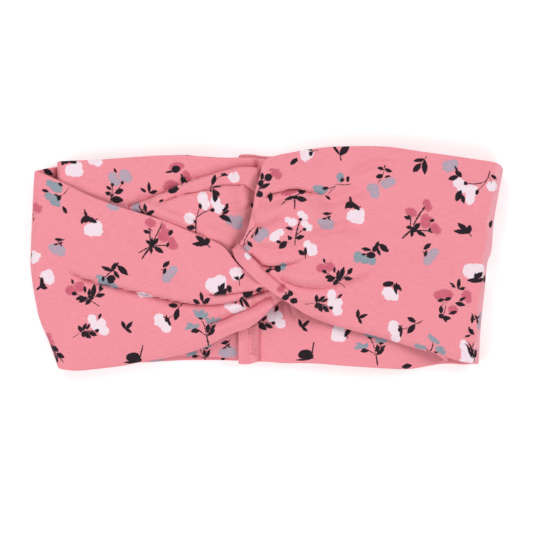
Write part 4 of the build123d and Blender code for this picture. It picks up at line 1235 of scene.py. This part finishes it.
# ---------------------------------------------------------------- floor, light and camera
FLOOR_HALF = 3.0  # these are in metres
FLOOR_DROP = 0.0004
LAMPS = {"left": (205, 4.6), "right": (25, 4.0), "top": (115, 4.5), "bottom": (295, 4.1)}  # azimuth, watts
LAMP_SIZE = 0.6
LAMP_AWAY, LAMP_HIGH = 0.84, 0.72
VIEW_CENTRE = (-0.0003, -0.0041)
VIEW_WIDTH = 0.2718  # at the outer legs' height
VIEW_DISTANCE = 1.4


def studio():
    """A pale floor, even light from all round and four soft lamps."""
    corners = [(x * FLOOR_HALF, y * FLOOR_HALF, 0) for x, y in ((-1, -1), (1, -1), (1, 1), (-1, 1))]
    mesh = bpy.data.meshes.new("floor")
    mesh.from_pydata(corners, [], [(0, 1, 2, 3)])
    floor = bpy.data.objects.new("floor", mesh)
    floor.location.z = -FLOOR_DROP
    bpy.context.scene.collection.objects.link(floor)
    paper, _ = new_material("floor_paper")
    finish = {"Base Color": (0.97, 0.97, 0.97, 1), "Roughness": 0.9, "Emission Color": (1, 1, 1, 1),
              "Emission Strength": 0.16}
    fill(paper.node_tree.nodes["Principled BSDF"], finish)
    mesh.materials.append(paper)
    world = bpy.data.worlds.new("studio")
    world.use_nodes = True
    fill(world.node_tree.nodes["Background"], {"Color": (1, 0.91, 0.93, 1), "Strength": 0.36})
    bpy.context.scene.world = world
    for name, (azimuth, power) in LAMPS.items():
        lamp = bpy.data.lights.new(name, "AREA")
        lamp.size = LAMP_SIZE
        lamp.energy = power
        around = math.radians(azimuth)
        place = Vector((LAMP_AWAY * math.cos(around), LAMP_AWAY * math.sin(around), LAMP_HIGH))
        obj = bpy.data.objects.new(name, lamp)
        obj.location = place
        obj.rotation_euler = (-place).to_track_quat("-Z", "Y").to_euler()
        bpy.context.scene.collection.objects.link(obj)


def camera():
    """Straight above, so far off that the view is nearly parallel."""
    data = bpy.data.cameras.new("camera")
    data.lens = data.sensor_width * VIEW_DISTANCE / VIEW_WIDTH
    obj = bpy.data.objects.new("camera", data)
    obj.location = (*VIEW_CENTRE, OUTER_TOP * MM + VIEW_DISTANCE)
    bpy.context.scene.collection.objects.link(obj)
    bpy.context.scene.camera = obj
    bpy.context.scene.view_settings.view_transform = "Standard"


# ---------------------------------------------------------------- the headband
def left_front(materials):
    outer, inner = left_outer_leg(), left_inner_leg()
    prints = (LEFT_OUTER, YARD), (LEFT_INNER, YARD)
    cloth = front_cloth("left_front", outer, inner, prints, materials, columns=18, pull=16, rolled=True)
    return cloth, tube_seam("left_front_seam", inner, -1, middle=(-64, 4), turn=20, long=70)


def right_front(materials):
    outer, inner = right_outer_leg(), right_inner_leg()
    prints = (RIGHT_OUTER, YARD), (YARD, CLEAR_YARD)
    cloth = front_cloth("right_front", outer, inner, prints, materials, columns=20, pull=5, rolled=False)
    return cloth, tube_seam("right_front_seam", inner, -1, middle=(58, 1), turn=0, long=88)


# In metres: two places for the side folds and a lift for the knot.
LEFT_STAYS, RIGHT_STAYS, KNOT_LIFTS = -0.100, 0.090, 0.030

camera()
studio()
cloth_materials = jersey_materials()
sewing = thread_material()
for name, make, stays in (("left", left_front, LEFT_STAYS), ("right", right_front, RIGHT_STAYS)):
    cloth, seam = make(cloth_materials)
    seam.data.materials.append(sewing)
    for piece in (cloth, seam):
        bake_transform(piece)
    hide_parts(name + "_strip_front")
    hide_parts(name + "_tube_seam_front")

back_cloths, back_runs = backs(cloth_materials)
for name, piece in back_cloths.items():
    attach(piece, "back")
    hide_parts(name.split("_")[0] + "_strip_back")
seam_stitches, seam_overlock = back_seam(back_runs["right_inner_back"])
sewn = {"back_seam_stitches": seam_stitches, "back_seam_overlock": seam_overlock}
for name, middle, long in (("left", (-62, 0), 76), ("right", (53, 0), 90)):
    run = back_runs[name + "_inner_back"]
    sewn[name + "_tube_seam_back"] = tube_seam(name + "_back_seam", run, 1, middle, turn=0, long=long)
for node, piece in sewn.items():
    piece.data.materials.append(sewing)
    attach(piece, "back")
    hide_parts(node)
